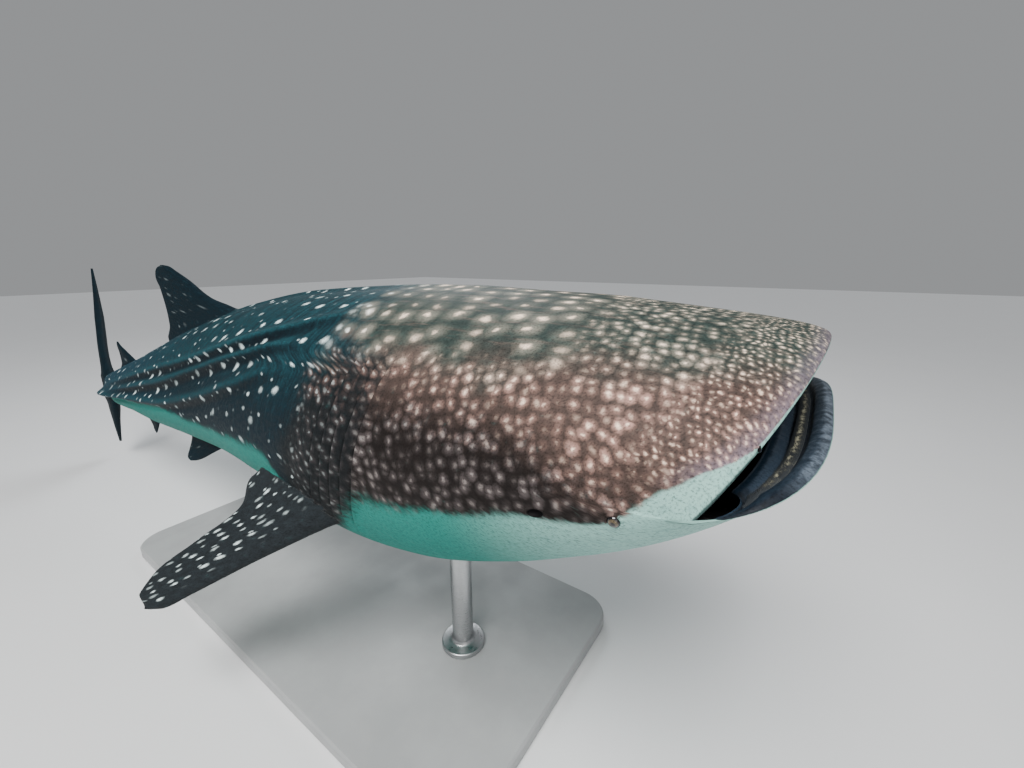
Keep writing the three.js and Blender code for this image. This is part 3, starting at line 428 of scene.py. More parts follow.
def ridge_offset(u, degrees):
    """How far the ridges lift the skin, as a fraction of the length."""
    sizes = bpy.context.scene.shark_shape
    side = side_angle(degrees)
    girth_radius = (FLANK_AT(u) + BACK_AT(u)) / 2 * total_length()
    total = np.zeros(np.broadcast(u, degrees).shape)
    for k, (path, rise) in enumerate(RIDGE_CURVES):
        away = np.radians(side - path(u)) * girth_radius
        keel = smooth((u - .66) / .1) * (k == 3)
        above = sizes.ridge_above * (1 - .4 * keel)
        below = np.where(k == 0, sizes.ridge_above, sizes.ridge_below) * (1 + .3 * keel)
        shape = np.where(away < 0, np.exp(-(away / above) ** 2), np.exp(-(away / below) ** 2))
        groove = .3 * np.exp(-((away - 2.4 * below) / below) ** 2) * (k > 0)
        total += rise(u) * (shape - groove)
    return total


def gill_lean(station, degrees):
    amount = np.minimum(smooth((station - HEAD_END) / .028), smooth((GILLS_END - station) / .07))
    return GILL_LEAN * amount * smooth((side_angle(degrees) - GILL_LEAN_TOP) / GILL_LEAN_SPAN)


def gill_offset(station, degrees):
    """Offset of the skin at the slits in metres, and the painted shade that darkens each slit."""
    sizes = bpy.context.scene.shark_shape
    side = side_angle(degrees)
    offset = np.zeros(np.broadcast(station, degrees).shape)
    slit_shade = np.zeros_like(offset)
    for i in range(GILL_COUNT):
        x = (station - GILL_FIRST - i * GILL_PITCH) * total_length()
        bottom = GILL_BOTTOM - GILL_SHORTEN * i
        window = smooth((side - GILL_TOP) / 12) * smooth((bottom - side) / 14)
        flap = np.where(x <= 0, np.exp(-(x / .02) ** 2), np.exp(-(x / .0015) ** 2))
        hollow = np.where(x > 0, smooth(x / .004) * np.exp(-(np.maximum(x - .004, 0) / .011) ** 2), 0)
        offset += window * (sizes.gill_flap * flap - sizes.gill_depth * hollow)
        # Painted shade inside each slit, fading behind it.
        fading = np.exp(-(np.maximum(x - .004, 0) / .009) ** 2)
        slit_shade = np.maximum(slit_shade, window * np.where(x > -.0015, fading, 0))
    return offset, slit_shade


def body_points(station, degrees):
    """Skin points of the straight animal and the painted shade of the slits."""
    u = station + gill_lean(station, degrees)
    y, z = section(u, degrees)
    height = np.where(z > 0, BACK_AT(u), BELLY_AT(u))
    normal = np.stack([y / FLANK_AT(u) ** 2, z / height ** 2], -1)
    normal /= np.linalg.norm(normal, axis=-1, keepdims=True)
    slit, slit_shade = gill_offset(station, degrees)
    lift = ridge_offset(station, degrees) + slit / total_length()
    return np.stack([u, y + normal[..., 0] * lift, z + normal[..., 1] * lift], -1), slit_shade


def lip_edge(degrees):
    a = np.radians(degrees)
    s, c = np.sin(a), np.cos(a)
    c = np.where(np.abs(c) < 1e-9, 0, c)
    upper = c >= 0
    fullness = np.where(upper, UPPER_FULLNESS, LOWER_FULLNESS)
    front = np.abs(c) ** (2 / fullness)
    station = MOUTH_CORNER + (np.where(upper, 0, LOWER_SET_BACK) - MOUTH_CORNER) * front
    height = CORNER_HEIGHT + (np.where(upper, UPPER_FRONT, LOWER_FRONT) - CORNER_HEIGHT) * front
    return np.stack([station, -MOUTH_HALF_WIDTH * signed_power(s, 2 / fullness), height], -1)


def lip_inward(degrees):
    """Direction in plan from the lip edge into the mouth."""
    step = .5
    across = lip_edge(degrees + step) - lip_edge(degrees - step)
    inward = np.stack([-across[..., 1], across[..., 0]], -1)
    inward /= np.linalg.norm(inward, axis=-1, keepdims=True)
    edge = lip_edge(degrees)
    to_middle = np.stack([MOUTH_MIDDLE[0] - edge[..., 0], -edge[..., 1]], -1)
    flip = np.sign((inward * to_middle).sum(-1, keepdims=True))
    return np.concatenate([inward * flip, np.zeros_like(edge[..., :1])], -1)


def smooth_path(points, count):
    """A cardinal curve through points of (..., k, 3), sampled count times after the first."""
    points = np.asarray(points, float)
    padded = np.concatenate([2 * points[:1] - points[1:2], points, 2 * points[-1:] - points[-2:-1]])
    samples = []
    spans = len(points) - 1
    for t in np.linspace(0, spans, count + 1)[1:]:
        i = min(int(t), spans - 1)
        f = t - i
        p0, p1, p2, p3 = padded[i:i + 4]
        samples.append(.5 * (2 * p1 + (p2 - p0) * f + (2 * p0 - 5 * p1 + 4 * p2 - p3) * f * f
                             + (3 * p1 - p0 - 3 * p2 + p3) * f ** 3))
    return np.array(samples)


def lip_profile(count):
    """Insets and heights across the upper and the lower lip, finely sampled."""
    upper = smooth_path([(x, y, 0) for x, y in UPPER_LIP], count)
    lower = smooth_path([(x, y, 0) for x, y in LOWER_LIP], count)
    return upper[:, :2], lower[:, :2]


def lip_point(degrees, inset_height):
    """Points of the lips for one (inset, height), or a pair of them for upper and lower."""
    upper, lower = inset_height
    is_upper = (np.cos(np.radians(degrees)) > -1e-9)[:, None]
    both = np.where(is_upper, np.array(upper), np.array(lower))
    fade = np.clip(np.abs(np.cos(np.radians(degrees))) * LIP_FADE, LEAST_LIP, 1)[:, None]
    point = lip_edge(degrees) + lip_inward(degrees) * both[:, :1] * fade
    point[:, 2:] += both[:, 1:] * fade
    return point


def cavity_ring(degrees, shape):
    station, half_width, roof, floor = shape
    a = np.radians(degrees)
    s, c = np.sin(a), np.cos(a)
    height = np.where(c > 0, roof, floor)
    return np.stack([np.full_like(s, station), -half_width * signed_power(s, .85),
                     height * signed_power(c, .85)], -1)


def snout_rings(degrees, ts):
    """Skin of the snout and chin, from the head's last full ring to the edge of the lips."""
    start, _ = body_points(HEAD_STATION, degrees)
    ahead, _ = body_points(HEAD_STATION - .001, degrees)
    ahead = ahead - start
    ahead /= np.linalg.norm(ahead, axis=-1, keepdims=True)
    end = lip_edge(degrees)
    reach = np.linalg.norm(end - start, axis=-1, keepdims=True)
    c = np.cos(np.radians(degrees))[:, None]
    share = np.abs(c) ** np.where(c > 0, UPPER_EASE, 1)
    above = np.where(c > 0, share, 0)
    front = np.where(c > 0, np.array(UPPER_ARRIVE), np.array(LOWER_ARRIVE))
    arrive = np.array([-1., 0, 0]) * (1 - share) + front * share
    arrive /= np.linalg.norm(arrive, axis=-1, keepdims=True)
    one = start + ahead * (SNOUT_LEAVE - UPPER_LEAVE_LESS * above) * reach
    two = end - arrive * (SNOUT_ARRIVE - UPPER_ARRIVE_LESS * above) * reach
    return np.array([(1 - t) ** 3 * start + 3 * t * (1 - t) ** 2 * one + 3 * t * t * (1 - t) * two
                     + t ** 3 * end for t in ts])


def even(start, stop, pitch):
    """Even places from start up to but not including stop."""
    count = max(1, round(abs(stop - start) / pitch))
    return list(np.linspace(start, stop, count + 1)[:-1])


def body_stations():
    """Stations from the tail forward to the head's last full ring, closer at the gill slits."""
    length = total_length()
    last = GILL_FIRST + GILL_PITCH * (GILL_COUNT - 1)
    slit_steps = [-.026, -.018, -.012, -.007, -.004, -.002, -.0005, .0008, .002, .0035, .005,
                  .007, .01, .014, .019, .0245]
    slits = [GILL_FIRST + i * GILL_PITCH + x / length for i in range(GILL_COUNT) for x in slit_steps]
    ahead = even(HEAD_STATION, GILL_FIRST - .031 / length, .0011)
    behind = even(last + .03 / length, .3, .0014)
    rear = even(.3, .6, .002) + even(.6, STALK_END, .0022) + [STALK_END]
    return np.array(sorted(ahead + slits + behind + rear, reverse=True))


def column_angles(count):
    return np.arange(count) * 360 / count


def loft_faces(rings, columns, first=0):
    """Quads over a stack of closed rings."""
    i = np.arange(rings - 1)[:, None] * columns
    j = np.arange(columns)[None, :]
    k = (np.arange(columns)[None, :] + 1) % columns
    return np.stack([i + j, i + k, i + columns + k, i + columns + j], -1).reshape(-1, 4) + first


def mesh_object(name, points, quads, fans=(), fields=None):
    """A mesh object from points, quads and triangles, with point fields as attributes."""
    mesh = bpy.data.meshes.new(name)
    tris = np.array(fans, np.int64).reshape(-1, 3)
    loops = np.concatenate([quads.ravel(), tris.ravel()]).astype(np.int32)
    sizes = np.concatenate([np.full(len(quads), 4), np.full(len(tris), 3)]).astype(np.int32)
    mesh.vertices.add(len(points))
    mesh.vertices.foreach_set("co", np.asarray(points, np.float32).ravel())
    mesh.loops.add(len(loops))
    mesh.loops.foreach_set("vertex_index", loops)
    mesh.polygons.add(len(sizes))
    starts = np.concatenate([[0], np.cumsum(sizes)[:-1]])
    mesh.polygons.foreach_set("loop_start", starts.astype(np.int32))
    mesh.polygons.foreach_set("use_smooth", np.ones(len(sizes), bool))
    for key, values in (fields or {}).items():
        layer = mesh.attributes.new(key, "FLOAT", "POINT")
        layer.data.foreach_set("value", np.asarray(values, np.float32).ravel())
    mesh.update(calc_edges=True)
    mesh.validate()
    item = bpy.data.objects.new(name, mesh)
    bpy.context.scene.collection.objects.link(item)
    return item


def outward_mesh(item):
    """Turns a closed mesh's faces outward."""
    work = bmesh.new()
    work.from_mesh(item.data)
    bmesh.ops.recalc_face_normals(work, faces=work.faces)
    if work.calc_volume(signed=True) < 0:
        bmesh.ops.reverse_faces(work, faces=work.faces)
    work.to_mesh(item.data)
    work.free()
    return item


def closed_loft(name, rings, fields=None):
    """One closed object from rings of equal count, with a fan over each end."""
    rings = np.asarray(rings, float)
    count, columns = rings.shape[:2]
    points = rings.reshape(-1, 3)
    ends = [rings[0].mean(0), rings[-1].mean(0)]
    points = np.vstack([points, ends])
    j = np.arange(columns)
    k = (j + 1) % columns
    centre = count * columns
    start = np.stack([np.full(columns, centre), k, j], 1)
    last = (count - 1) * columns
    stop = np.stack([np.full(columns, centre + 1), last + j, last + k], 1)
    full = {}
    for key, values in (fields or {}).items():
        values = np.asarray(values, float).reshape(count, columns)
        full[key] = np.concatenate([values.ravel(), [values[0].mean(), values[-1].mean()]])
    return mesh_object(name, points, loft_faces(count, columns), np.vstack([start, stop]), full)


def path_lengths(rings):
    """Distance along each column, ring by ring."""
    steps = np.linalg.norm(np.diff(rings, axis=0), axis=-1)
    return np.vstack([np.zeros(rings.shape[1]), np.cumsum(steps, 0)])


def signed_girth(rings):
    """Distance round each ring from the top, positive on the right side."""
    columns = rings.shape[1]
    steps = np.linalg.norm(np.roll(rings, -1, axis=1) - rings, axis=-1)
    right = np.cumsum(steps, 1) - steps
    left = np.cumsum(steps[:, ::-1], 1)[:, ::-1]
    half = columns // 2
    return np.where(np.arange(columns)[None, :] <= half, right, -left)


def body_object():
    """The body from the end of the tail stalk to the lips and into the throat, one closed skin."""
    sizes = bpy.context.scene.shark_shape
    angles = column_angles(sizes.columns)
    stations = body_stations()
    outer, slit_shade = body_points(stations[:, None], angles[None, :])
    tail = []
    for station, share in TAIL_TAPER:
        ring = outer[0].copy()
        ring[:, 0] = station
        ring[:, 1] *= share
        ring[:, 2] *= .75 + .25 * share
        tail.append(ring)
    snout = snout_rings(angles, np.linspace(0, 1, SNOUT_RINGS)[1:])
    upper, lower = lip_profile(LIP_RINGS)
    lips = np.array([lip_point(angles, (upper[k], lower[k])) for k in range(LIP_RINGS)])
    cavity = smooth_path([lips[-1], cavity_ring(angles, MOUTH_MIDDLE), cavity_ring(angles, THROAT)],
                         CAVITY_RINGS)
    back = cavity_ring(angles, THROAT_BACK)[None]
    rings = np.concatenate([np.array(tail[::-1]), outer, snout, lips, cavity, back])
    placed = place(rings)
    lip_ring = len(tail) + len(outer) + len(snout) - 1
    along = path_lengths(placed)
    along = along[lip_ring] - along
    girth = signed_girth(placed)
    half_girth = np.maximum(np.abs(girth[:lip_ring + 1]).max(1), .05)
    rate = np.full(len(rings), SPOT_ROWS / half_girth[-1])
    rate[:lip_ring + 1] = SPOT_ROWS / half_girth
    steps = np.abs(np.diff(along, axis=0)) * (rate[1:] + rate[:-1])[:, None] / 2
    flow = np.vstack([np.zeros(sizes.columns), np.cumsum(steps, 0)])
    flow -= flow[len(tail) + len(outer) - 1]
    turn = girth * rate[:, None]
    girth[lip_ring + 1:] = girth[lip_ring]
    station = rings[..., 0]
    gill_station = station.copy()
    gill_station[len(tail):len(tail) + len(outer)] = stations[:, None]
    row = np.arange(len(rings))[:, None] - lip_ring
    inner = np.where(row <= LIP_RINGS, row / LIP_RINGS * (len(UPPER_LIP) - 1),
                     len(UPPER_LIP) - 1 + (row - LIP_RINGS) / CAVITY_RINGS)
    station = np.where(row > 0, MOUTH_CORNER, station)
    slit = np.zeros(rings.shape[:2])
    slit[len(tail):len(tail) + len(outer)] = slit_shade
    side = np.broadcast_to(side_angle(angles)[None, :], rings.shape[:2])
    flat = np.ones(rings.shape[:2])
    fields = {
        "along": along, "girth": girth, "station": station, "side": side, "slit": slit,
        "fin": 0 * flat, "lip": np.maximum(inner, 0) * flat, "flow": flow, "turn": turn,
        "skin": flat, "gill_station": gill_station, "spotted": flat,
    }
    return outward_mesh(closed_loft("body", placed, fields))


def outside_distance(points):
    """Rough distance in metres of straight-animal points outside the body's skin."""
    u, y, z = points[..., 0], points[..., 1], points[..., 2]
    above = z > 0
    n = np.where(above, BACK_FULLNESS_AT(u), BELLY_FULLNESS_AT(u))
    height = np.where(above, BACK_AT(u), BELLY_AT(u))
    flank = FLANK_AT(u)
    level = ((np.abs(y) / flank) ** n + (np.abs(z) / height) ** n) ** (1 / n)
    size = np.sqrt(y * y + z * z)
    return (size - size / np.maximum(level, 1e-6)) * total_length()


def fin_object(name, fin, steps, mirror=False, spotted=.2):
    """One fin as a closed loft, swelling where it leaves the body."""
    sizes = bpy.context.scene.shark_shape
    length = total_length()
    front_at, back_at = curve(fin["front"]), curve(fin["back"])
    thickness_at = curve(FIN_THICKNESS)
    flip = np.array([1, -1 if mirror else 1, 1])
    root, chord, span = (np.array(fin[key], float) * flip for key in ("root", "chord", "span"))
    chord /= np.linalg.norm(chord)
    normal = np.cross(chord, span)
    normal /= np.linalg.norm(normal)
    even_steps = np.linspace(0, 1, steps + 1)
    both = fin.get("both_tips", False)
    v = (1 - np.cos(np.pi * even_steps)) / 2 if both else np.sin(np.pi / 2 * even_steps) ** 1.15
    share = (np.minimum(1, .25 + 2.4 * np.minimum(v / .6, 1 - v)) if both else 1 - .72 * v)
    x = (1 - np.cos(np.linspace(0, np.pi, FIN_POINTS))) / 2
    loop_x = np.concatenate([x, x[-2:0:-1]])
    loop_side = np.concatenate([np.ones(FIN_POINTS), -np.ones(FIN_POINTS - 2)])
    loop_side[[0, FIN_POINTS - 1]] = 0
    front, back = front_at(v)[:, None], back_at(v)[:, None]
    middle = root + v[:, None, None] * span + (front + (back - front) * loop_x)[..., None] * chord
    outside = np.maximum(outside_distance(middle), -.02)
    fillet = sizes.fillet * np.exp(-np.maximum(outside, 0) / sizes.fillet_reach) / length
    fillet *= fin["thickness"] / FIRST_DORSAL["thickness"]
    lead = 1.6 * fillet * np.exp(-loop_x / .12)
    thickness = thickness_at(loop_x)
    rounded = smooth(np.minimum(loop_x / .1, (1 - loop_x) / .1))
    half = fin["thickness"] / 2 * share[:, None] * thickness + fillet * (thickness > 0) * rounded
    points = middle + (half * loop_side)[..., None] * normal - lead[..., None] * chord
    placed = place(points)
    chordwise = (loop_x * (back - front)) * length
    spanwise = np.broadcast_to((v * np.linalg.norm(span) * length)[:, None], chordwise.shape)
    flat = np.ones(chordwise.shape)
    fields = {
        "along": chordwise, "girth": spanwise + root[0] * 40, "station": points[..., 0],
        "side": loop_x * 180 * flat, "slit": 0 * flat, "fin": flat, "lip": 0 * flat,
        "flow": chordwise, "turn": spanwise * loop_side, "skin": flat, "spotted": spotted * flat,
        "gill_station": points[..., 0],
    }
    return outward_mesh(closed_loft(name, placed, fields))


def skin_frame(station, degrees):
    """Matrix on the skin: Z out, X ahead, at a station ahead of the head's last full ring."""
    angle = np.array([float(degrees)])
    if station < HEAD_STATION:
        ts = np.linspace(0, 1, 400)
        track = snout_rings(angle, ts)[:, 0]
        k = int(np.argmin(np.abs(track[:, 0] - station)))
        here = track[k]
        beside = snout_rings(angle + .5, ts[k:k + 1])[0, 0]
        ahead = track[k + 1]
    else:
        here = body_points(np.array([station]), angle)[0][0]
        beside = body_points(np.array([station]), angle + .5)[0][0]
        ahead = body_points(np.array([station - .001]), angle)[0][0]
    p, q, r = (Vector(place(v)) for v in (here, beside, ahead))
    forward = (r - p).normalized()
    out = forward.cross(q - p).normalized()
    middle = Vector(place(np.array([here[0], 0, 0])))
    if out.dot(p - middle) < 0:
        out.negate()
    side = out.cross(forward)
    return Matrix.Translation(p) @ Matrix((forward, side, out)).transposed().to_4x4()


def solid_from_bmesh(name, work, matrix):
    mesh = bpy.data.meshes.new(name)
    work.to_mesh(mesh)
    work.free()
    mesh.transform(matrix)
    item = bpy.data.objects.new(name, mesh)
    bpy.context.scene.collection.objects.link(item)
    return outward_mesh(item)


def ring_solid(name, matrix, radius, tube):
    """A torus about the frame's Z."""
    turns, sides = 72, 24
    around = np.linspace(0, 2 * np.pi, turns + 1)[:-1]
    across = np.linspace(0, 2 * np.pi, sides + 1)[:-1]
    a, b = np.meshgrid(around, across, indexing="ij")
    r = radius + tube * np.cos(b)
    rings = np.stack([r * np.cos(a), r * np.sin(a), tube * np.sin(b)], -1)
    quads = loft_faces(turns + 1, sides) % (turns * sides)
    item = mesh_object(name, rings.reshape(-1, 3), quads)
    item.data.transform(matrix)
    return outward_mesh(item)


def ball_solid(name, matrix, radius, scale=(1, 1, 1), centre=(0, 0, 0), segments=48):
    work = bmesh.new()
    bmesh.ops.create_uvsphere(work, u_segments=segments, v_segments=segments // 2, radius=radius)
    local = Matrix.Translation(centre) @ Matrix.Diagonal((*scale, 1))
    return solid_from_bmesh(name, work, matrix @ local)


def barbel_solid(name, matrix):
    """A short barbel, thick at its root and drawn out to a point."""
    outline = curve(BARBEL)
    heights = np.linspace(BARBEL[0][0], BARBEL[-1][0], 24)
    around = np.linspace(0, 2 * np.pi, 33)[:-1]
    rings = np.array([[(outline(h) * math.cos(a) - BARBEL_LEAN * max(h, 0),
                        outline(h) * math.sin(a), h) for a in around] for h in heights])
    item = closed_loft(name, rings)
    item.data.transform(matrix)
    return outward_mesh(item)


def nostril_frame(degrees):
    angle = np.array([float(degrees)])
    point = Vector(place(snout_rings(angle, [NOSTRIL_SHARE])[0, 0]))
    below = Vector(place(lip_point(angle, (UPPER_LIP[2], LOWER_LIP[2]))[0]))
    down = (below - point).normalized()
    ahead = Vector((1, 0, 0))
    ahead = (ahead - down * ahead.dot(down)).normalized()
    side = down.cross(ahead)
    return Matrix.Translation(point) @ Matrix((ahead, side, down)).transposed().to_4x4()


def boolean(target, parts, operation):
    """Joins or cuts a group of closed solids into the target, and removes them."""
    group = bpy.data.collections.new("boolean_parts")
    bpy.context.scene.collection.children.link(group)
    for part in parts:
        bpy.context.scene.collection.objects.unlink(part)
        group.objects.link(part)
    step = target.modifiers.new("join", "BOOLEAN")
    step.solver = "MANIFOLD"
    step.operation = operation
    step.operand_type = "COLLECTION"
    step.collection = group
    bpy.context.view_layer.update()
    joined = target.evaluated_get(bpy.context.evaluated_depsgraph_get())
    result = bpy.data.meshes.new_from_object(joined)
    target.modifiers.clear()
    target.data = result
    for part in parts:
        bpy.data.objects.remove(part)
    bpy.data.collections.remove(group)


def read_field(mesh, key):
    layer = mesh.attributes.get(key)
    if layer is None:
        raise RuntimeError("the skin lost its field " + key)
    values = np.empty(len(mesh.vertices), np.float32)
    layer.data.foreach_get("value", values)
    return values


def write_field(mesh, key, values):
    layer = mesh.attributes.get(key) or mesh.attributes.new(key, "FLOAT", "POINT")
    layer.data.foreach_set("value", np.asarray(values, np.float32))


def read_points(mesh):
    points = np.empty(len(mesh.vertices) * 3, np.float32)
    mesh.vertices.foreach_get("co", points)
    return points.reshape(-1, 3).astype(float)


def mesh_edges(mesh):
    edges = np.empty(len(mesh.edges) * 2, np.int32)
    mesh.edges.foreach_get("vertices", edges)
    return edges.reshape(-1, 2)


def smooth_joins(mesh, reach_rings=7, rounds=14):
    """Softens the creases where fins meet the body."""
    edges = mesh_edges(mesh)
    fin = read_field(mesh, "fin")
    seam = np.zeros(len(fin))
    cross = np.abs(fin[edges[:, 0]] - fin[edges[:, 1]]) > .02
    mixed = (fin > .02) & (fin < .98)
    seam[edges[cross].ravel()] = 1
    seam[mixed] = 1
    for _ in range(reach_rings):
        grown = seam.copy()
        np.maximum.at(grown, edges[:, 0], seam[edges[:, 1]] * .82)
        np.maximum.at(grown, edges[:, 1], seam[edges[:, 0]] * .82)
        seam = grown
    points = read_points(mesh)
    degree = np.bincount(edges.ravel(), minlength=len(points))[:, None]
    for _ in range(rounds):
        total = np.stack([np.bincount(edges[:, 0], points[edges[:, 1], k], len(points))
                          + np.bincount(edges[:, 1], points[edges[:, 0], k], len(points))
                          for k in range(3)], 1)
        points += (total / degree - points) * (seam * .6)[:, None]
    mesh.vertices.foreach_set("co", points.astype(np.float32).ravel())
    mesh.update()
    write_field(mesh, "seam", seam)


class Graph:
    """Short calls for building a material's nodes."""

    def __init__(self, name):
        self.material = bpy.data.materials.new(name)
        self.material.use_nodes = True
        self.tree = self.material.node_tree
        self.surface = self.tree.nodes["Principled BSDF"]

    def node(self, kind, **settings):
        made = self.tree.nodes.new(kind)
        for key, value in settings.items():
            setattr(made, key, value)
        return made

    def feed(self, socket, value):
        """Links a socket, or sets a plain number, vector or colour on it."""
        if isinstance(value, bpy.types.NodeSocket):
            self.tree.links.new(value, socket)
        elif isinstance(value, (int, float)):
            socket.default_value = value
        else:
            value = tuple(value)
            size = len(socket.default_value)
            socket.default_value = value + (1.0,) * (size - len(value))

    def field(self, name):
        return self.node("ShaderNodeAttribute", attribute_name=name).outputs["Fac"]

    def math(self, operation, a, b, clamp=False):
        made = self.node("ShaderNodeMath", operation=operation, use_clamp=clamp)
        self.feed(made.inputs[0], a)
        self.feed(made.inputs[1], b)
        return made.outputs[0]

    def times(self, a, b):
        return self.math("MULTIPLY", a, b)

    def plus(self, a, b):
        return self.math("ADD", a, b)

    def ease(self, value, low, high, to_low=0.0, to_high=1.0):
        made = self.node("ShaderNodeMapRange", interpolation_type="SMOOTHSTEP")
        for key, item in zip(("Value", "From Min", "From Max", "To Min", "To Max"),
                             (value, low, high, to_low, to_high)):
            self.feed(made.inputs[key], item)
        return made.outputs[0]

    def mix(self, share, a, b):
        made = self.node("ShaderNodeMix", data_type="RGBA")
        self.feed(made.inputs[0], share)
        self.feed(made.inputs[6], a)
        self.feed(made.inputs[7], b)
        return made.outputs[2]

    def join(self, x, y, z=0.0):
        made = self.node("ShaderNodeCombineXYZ")
        for socket, item in zip(made.inputs, (x, y, z)):
            self.feed(socket, item)
        return made.outputs[0]

    def split(self, vector):
        made = self.node("ShaderNodeSeparateXYZ")
        self.feed(made.inputs[0], vector)
        return made.outputs

    def vector(self, operation, a, b):
        made = self.node("ShaderNodeVectorMath", operation=operation)
        self.feed(made.inputs[0], a)
        self.feed(made.inputs[1], b)
        return made.outputs[0]

    def noise(self, at, scale, detail, rough, colour=False):
        made = self.node("ShaderNodeTexNoise")
        self.feed(made.inputs["Vector"], at)
        self.feed(made.inputs["Scale"], scale)
        self.feed(made.inputs["Detail"], detail)
        self.feed(made.inputs["Roughness"], rough)
        return made.outputs["Color" if colour else "Fac"]

    def cells(self, at):
        """Distance from the nearest of scattered cells of unit size, and its random colour."""
        made = self.node("ShaderNodeTexVoronoi", voronoi_dimensions="2D", feature="F1")
        self.feed(made.inputs["Vector"], at)
        self.feed(made.inputs["Scale"], 1.0)
        self.feed(made.inputs["Randomness"], .6)
        return made.outputs["Distance"], made.outputs["Color"]

    def bump(self, height, distance, strength, normal=None):
        made = self.node("ShaderNodeBump")
        self.feed(made.inputs["Height"], height)
        self.feed(made.inputs["Distance"], distance)
        self.feed(made.inputs["Strength"], strength)
        if normal is not None:
            self.feed(made.inputs["Normal"], normal)
        return made.outputs[0]

    def set(self, **values):
        for key, value in values.items():
            self.feed(self.surface.inputs[key.replace("_", " ")], value)


def spot_layer(graph, at, cell, radius, seed, share, dim):
    """Round soft spots scattered on cells: cell is their spacing in two directions, radius the
    part of a cell that a spot fills, share how many cells hold one and dim the least brightness
    of a spot. Gives middles and halos."""
    moved = graph.vector("MULTIPLY", at, (1 / cell[0], 1 / cell[1], 0))
    moved = graph.vector("ADD", moved, (seed, 0, 0))
    distance, draw = graph.cells(moved)
    size_draw, share_draw, bright_draw = graph.split(draw)
    size = graph.ease(size_draw, 0, 1, .7 * radius, 1.25 * radius)
    middle = graph.ease(graph.math("DIVIDE", distance, size), .1, 1.0, 1.0, 0.0)
    halo = graph.ease(distance, .05, .68, 1.0, 0.0)
    bright = graph.times(graph.math("LESS_THAN", share_draw, share),
                         graph.ease(bright_draw, .1, 1, dim, 1.0))
    return graph.times(middle, bright), graph.times(halo, bright)


def skin_ground(graph, at, mottle, patch):
    """Ground tones of the skin without its spots, and the strength of the painted shade that darkens the
    lower head.
    """
    colours = bpy.context.scene.shark_colours
    uneven = graph.math("SUBTRACT", mottle, .5)
    # Painted shade on the lower head, made uneven by the mottle.
    low = graph.ease(graph.plus(graph.field("low"), graph.times(uneven, 1.3)), 0, 1)
    patchy = graph.math("SUBTRACT", patch, .5)
    crown = graph.ease(graph.plus(graph.field("crown"), graph.times(patchy, 1.8)), 0, 1)
    head = graph.mix(crown, graph.mix(low, colours.cheek, colours.shadow), colours.crown)
    lengthwise = graph.noise(graph.vector("MULTIPLY", at, (8, 62, 0)), 1.0, 3, .6)
    head = graph.mix(graph.times(crown, graph.ease(lengthwise, .5, .8, 0, .2)), head, colours.halo)
    # Real pale cross bars, laid strongly on the upper flank as painted light from above and faintly on
    # the lower flank.
    across = graph.noise(graph.vector("MULTIPLY", at, (52, 3.4, 0)), 1.0, 4, .65)
    body = graph.mix(graph.times(graph.field("upper"), graph.ease(across, .34, .72, .1, .75)),
                     colours.back, colours.lit_back_and_bars)
    body = graph.mix(graph.times(graph.field("upper_less"), graph.ease(across, .56, .74, 0, .28)),
                     body, colours.lit_back_and_bars)
    # Painted water haze: blue-green light of the water laid over the far body, growing towards the tail.
    body = graph.mix(graph.field("rear"), body, colours.tail)
    # Painted highlight on the ridge crests, then painted shade in the band under each crest.
    body = graph.mix(graph.times(graph.field("crest_highlight"), .55), body, colours.lit_back_and_bars)
    body = graph.mix(graph.field("shade"), body, TONES["shade"])
    ground = graph.mix(graph.field("head"), body, head)
    ground = graph.mix(graph.field("gill"), ground, TONES["gill"])
    ground = graph.mix(graph.field("fin"), ground, colours.back)
    ground = graph.mix(graph.field("arm"), ground, TONES["arm"])
    tone = graph.ease(mottle, .3, .7, .72, 1.3)
    return graph.vector("MULTIPLY", ground, graph.join(tone, tone, tone)), low, crown


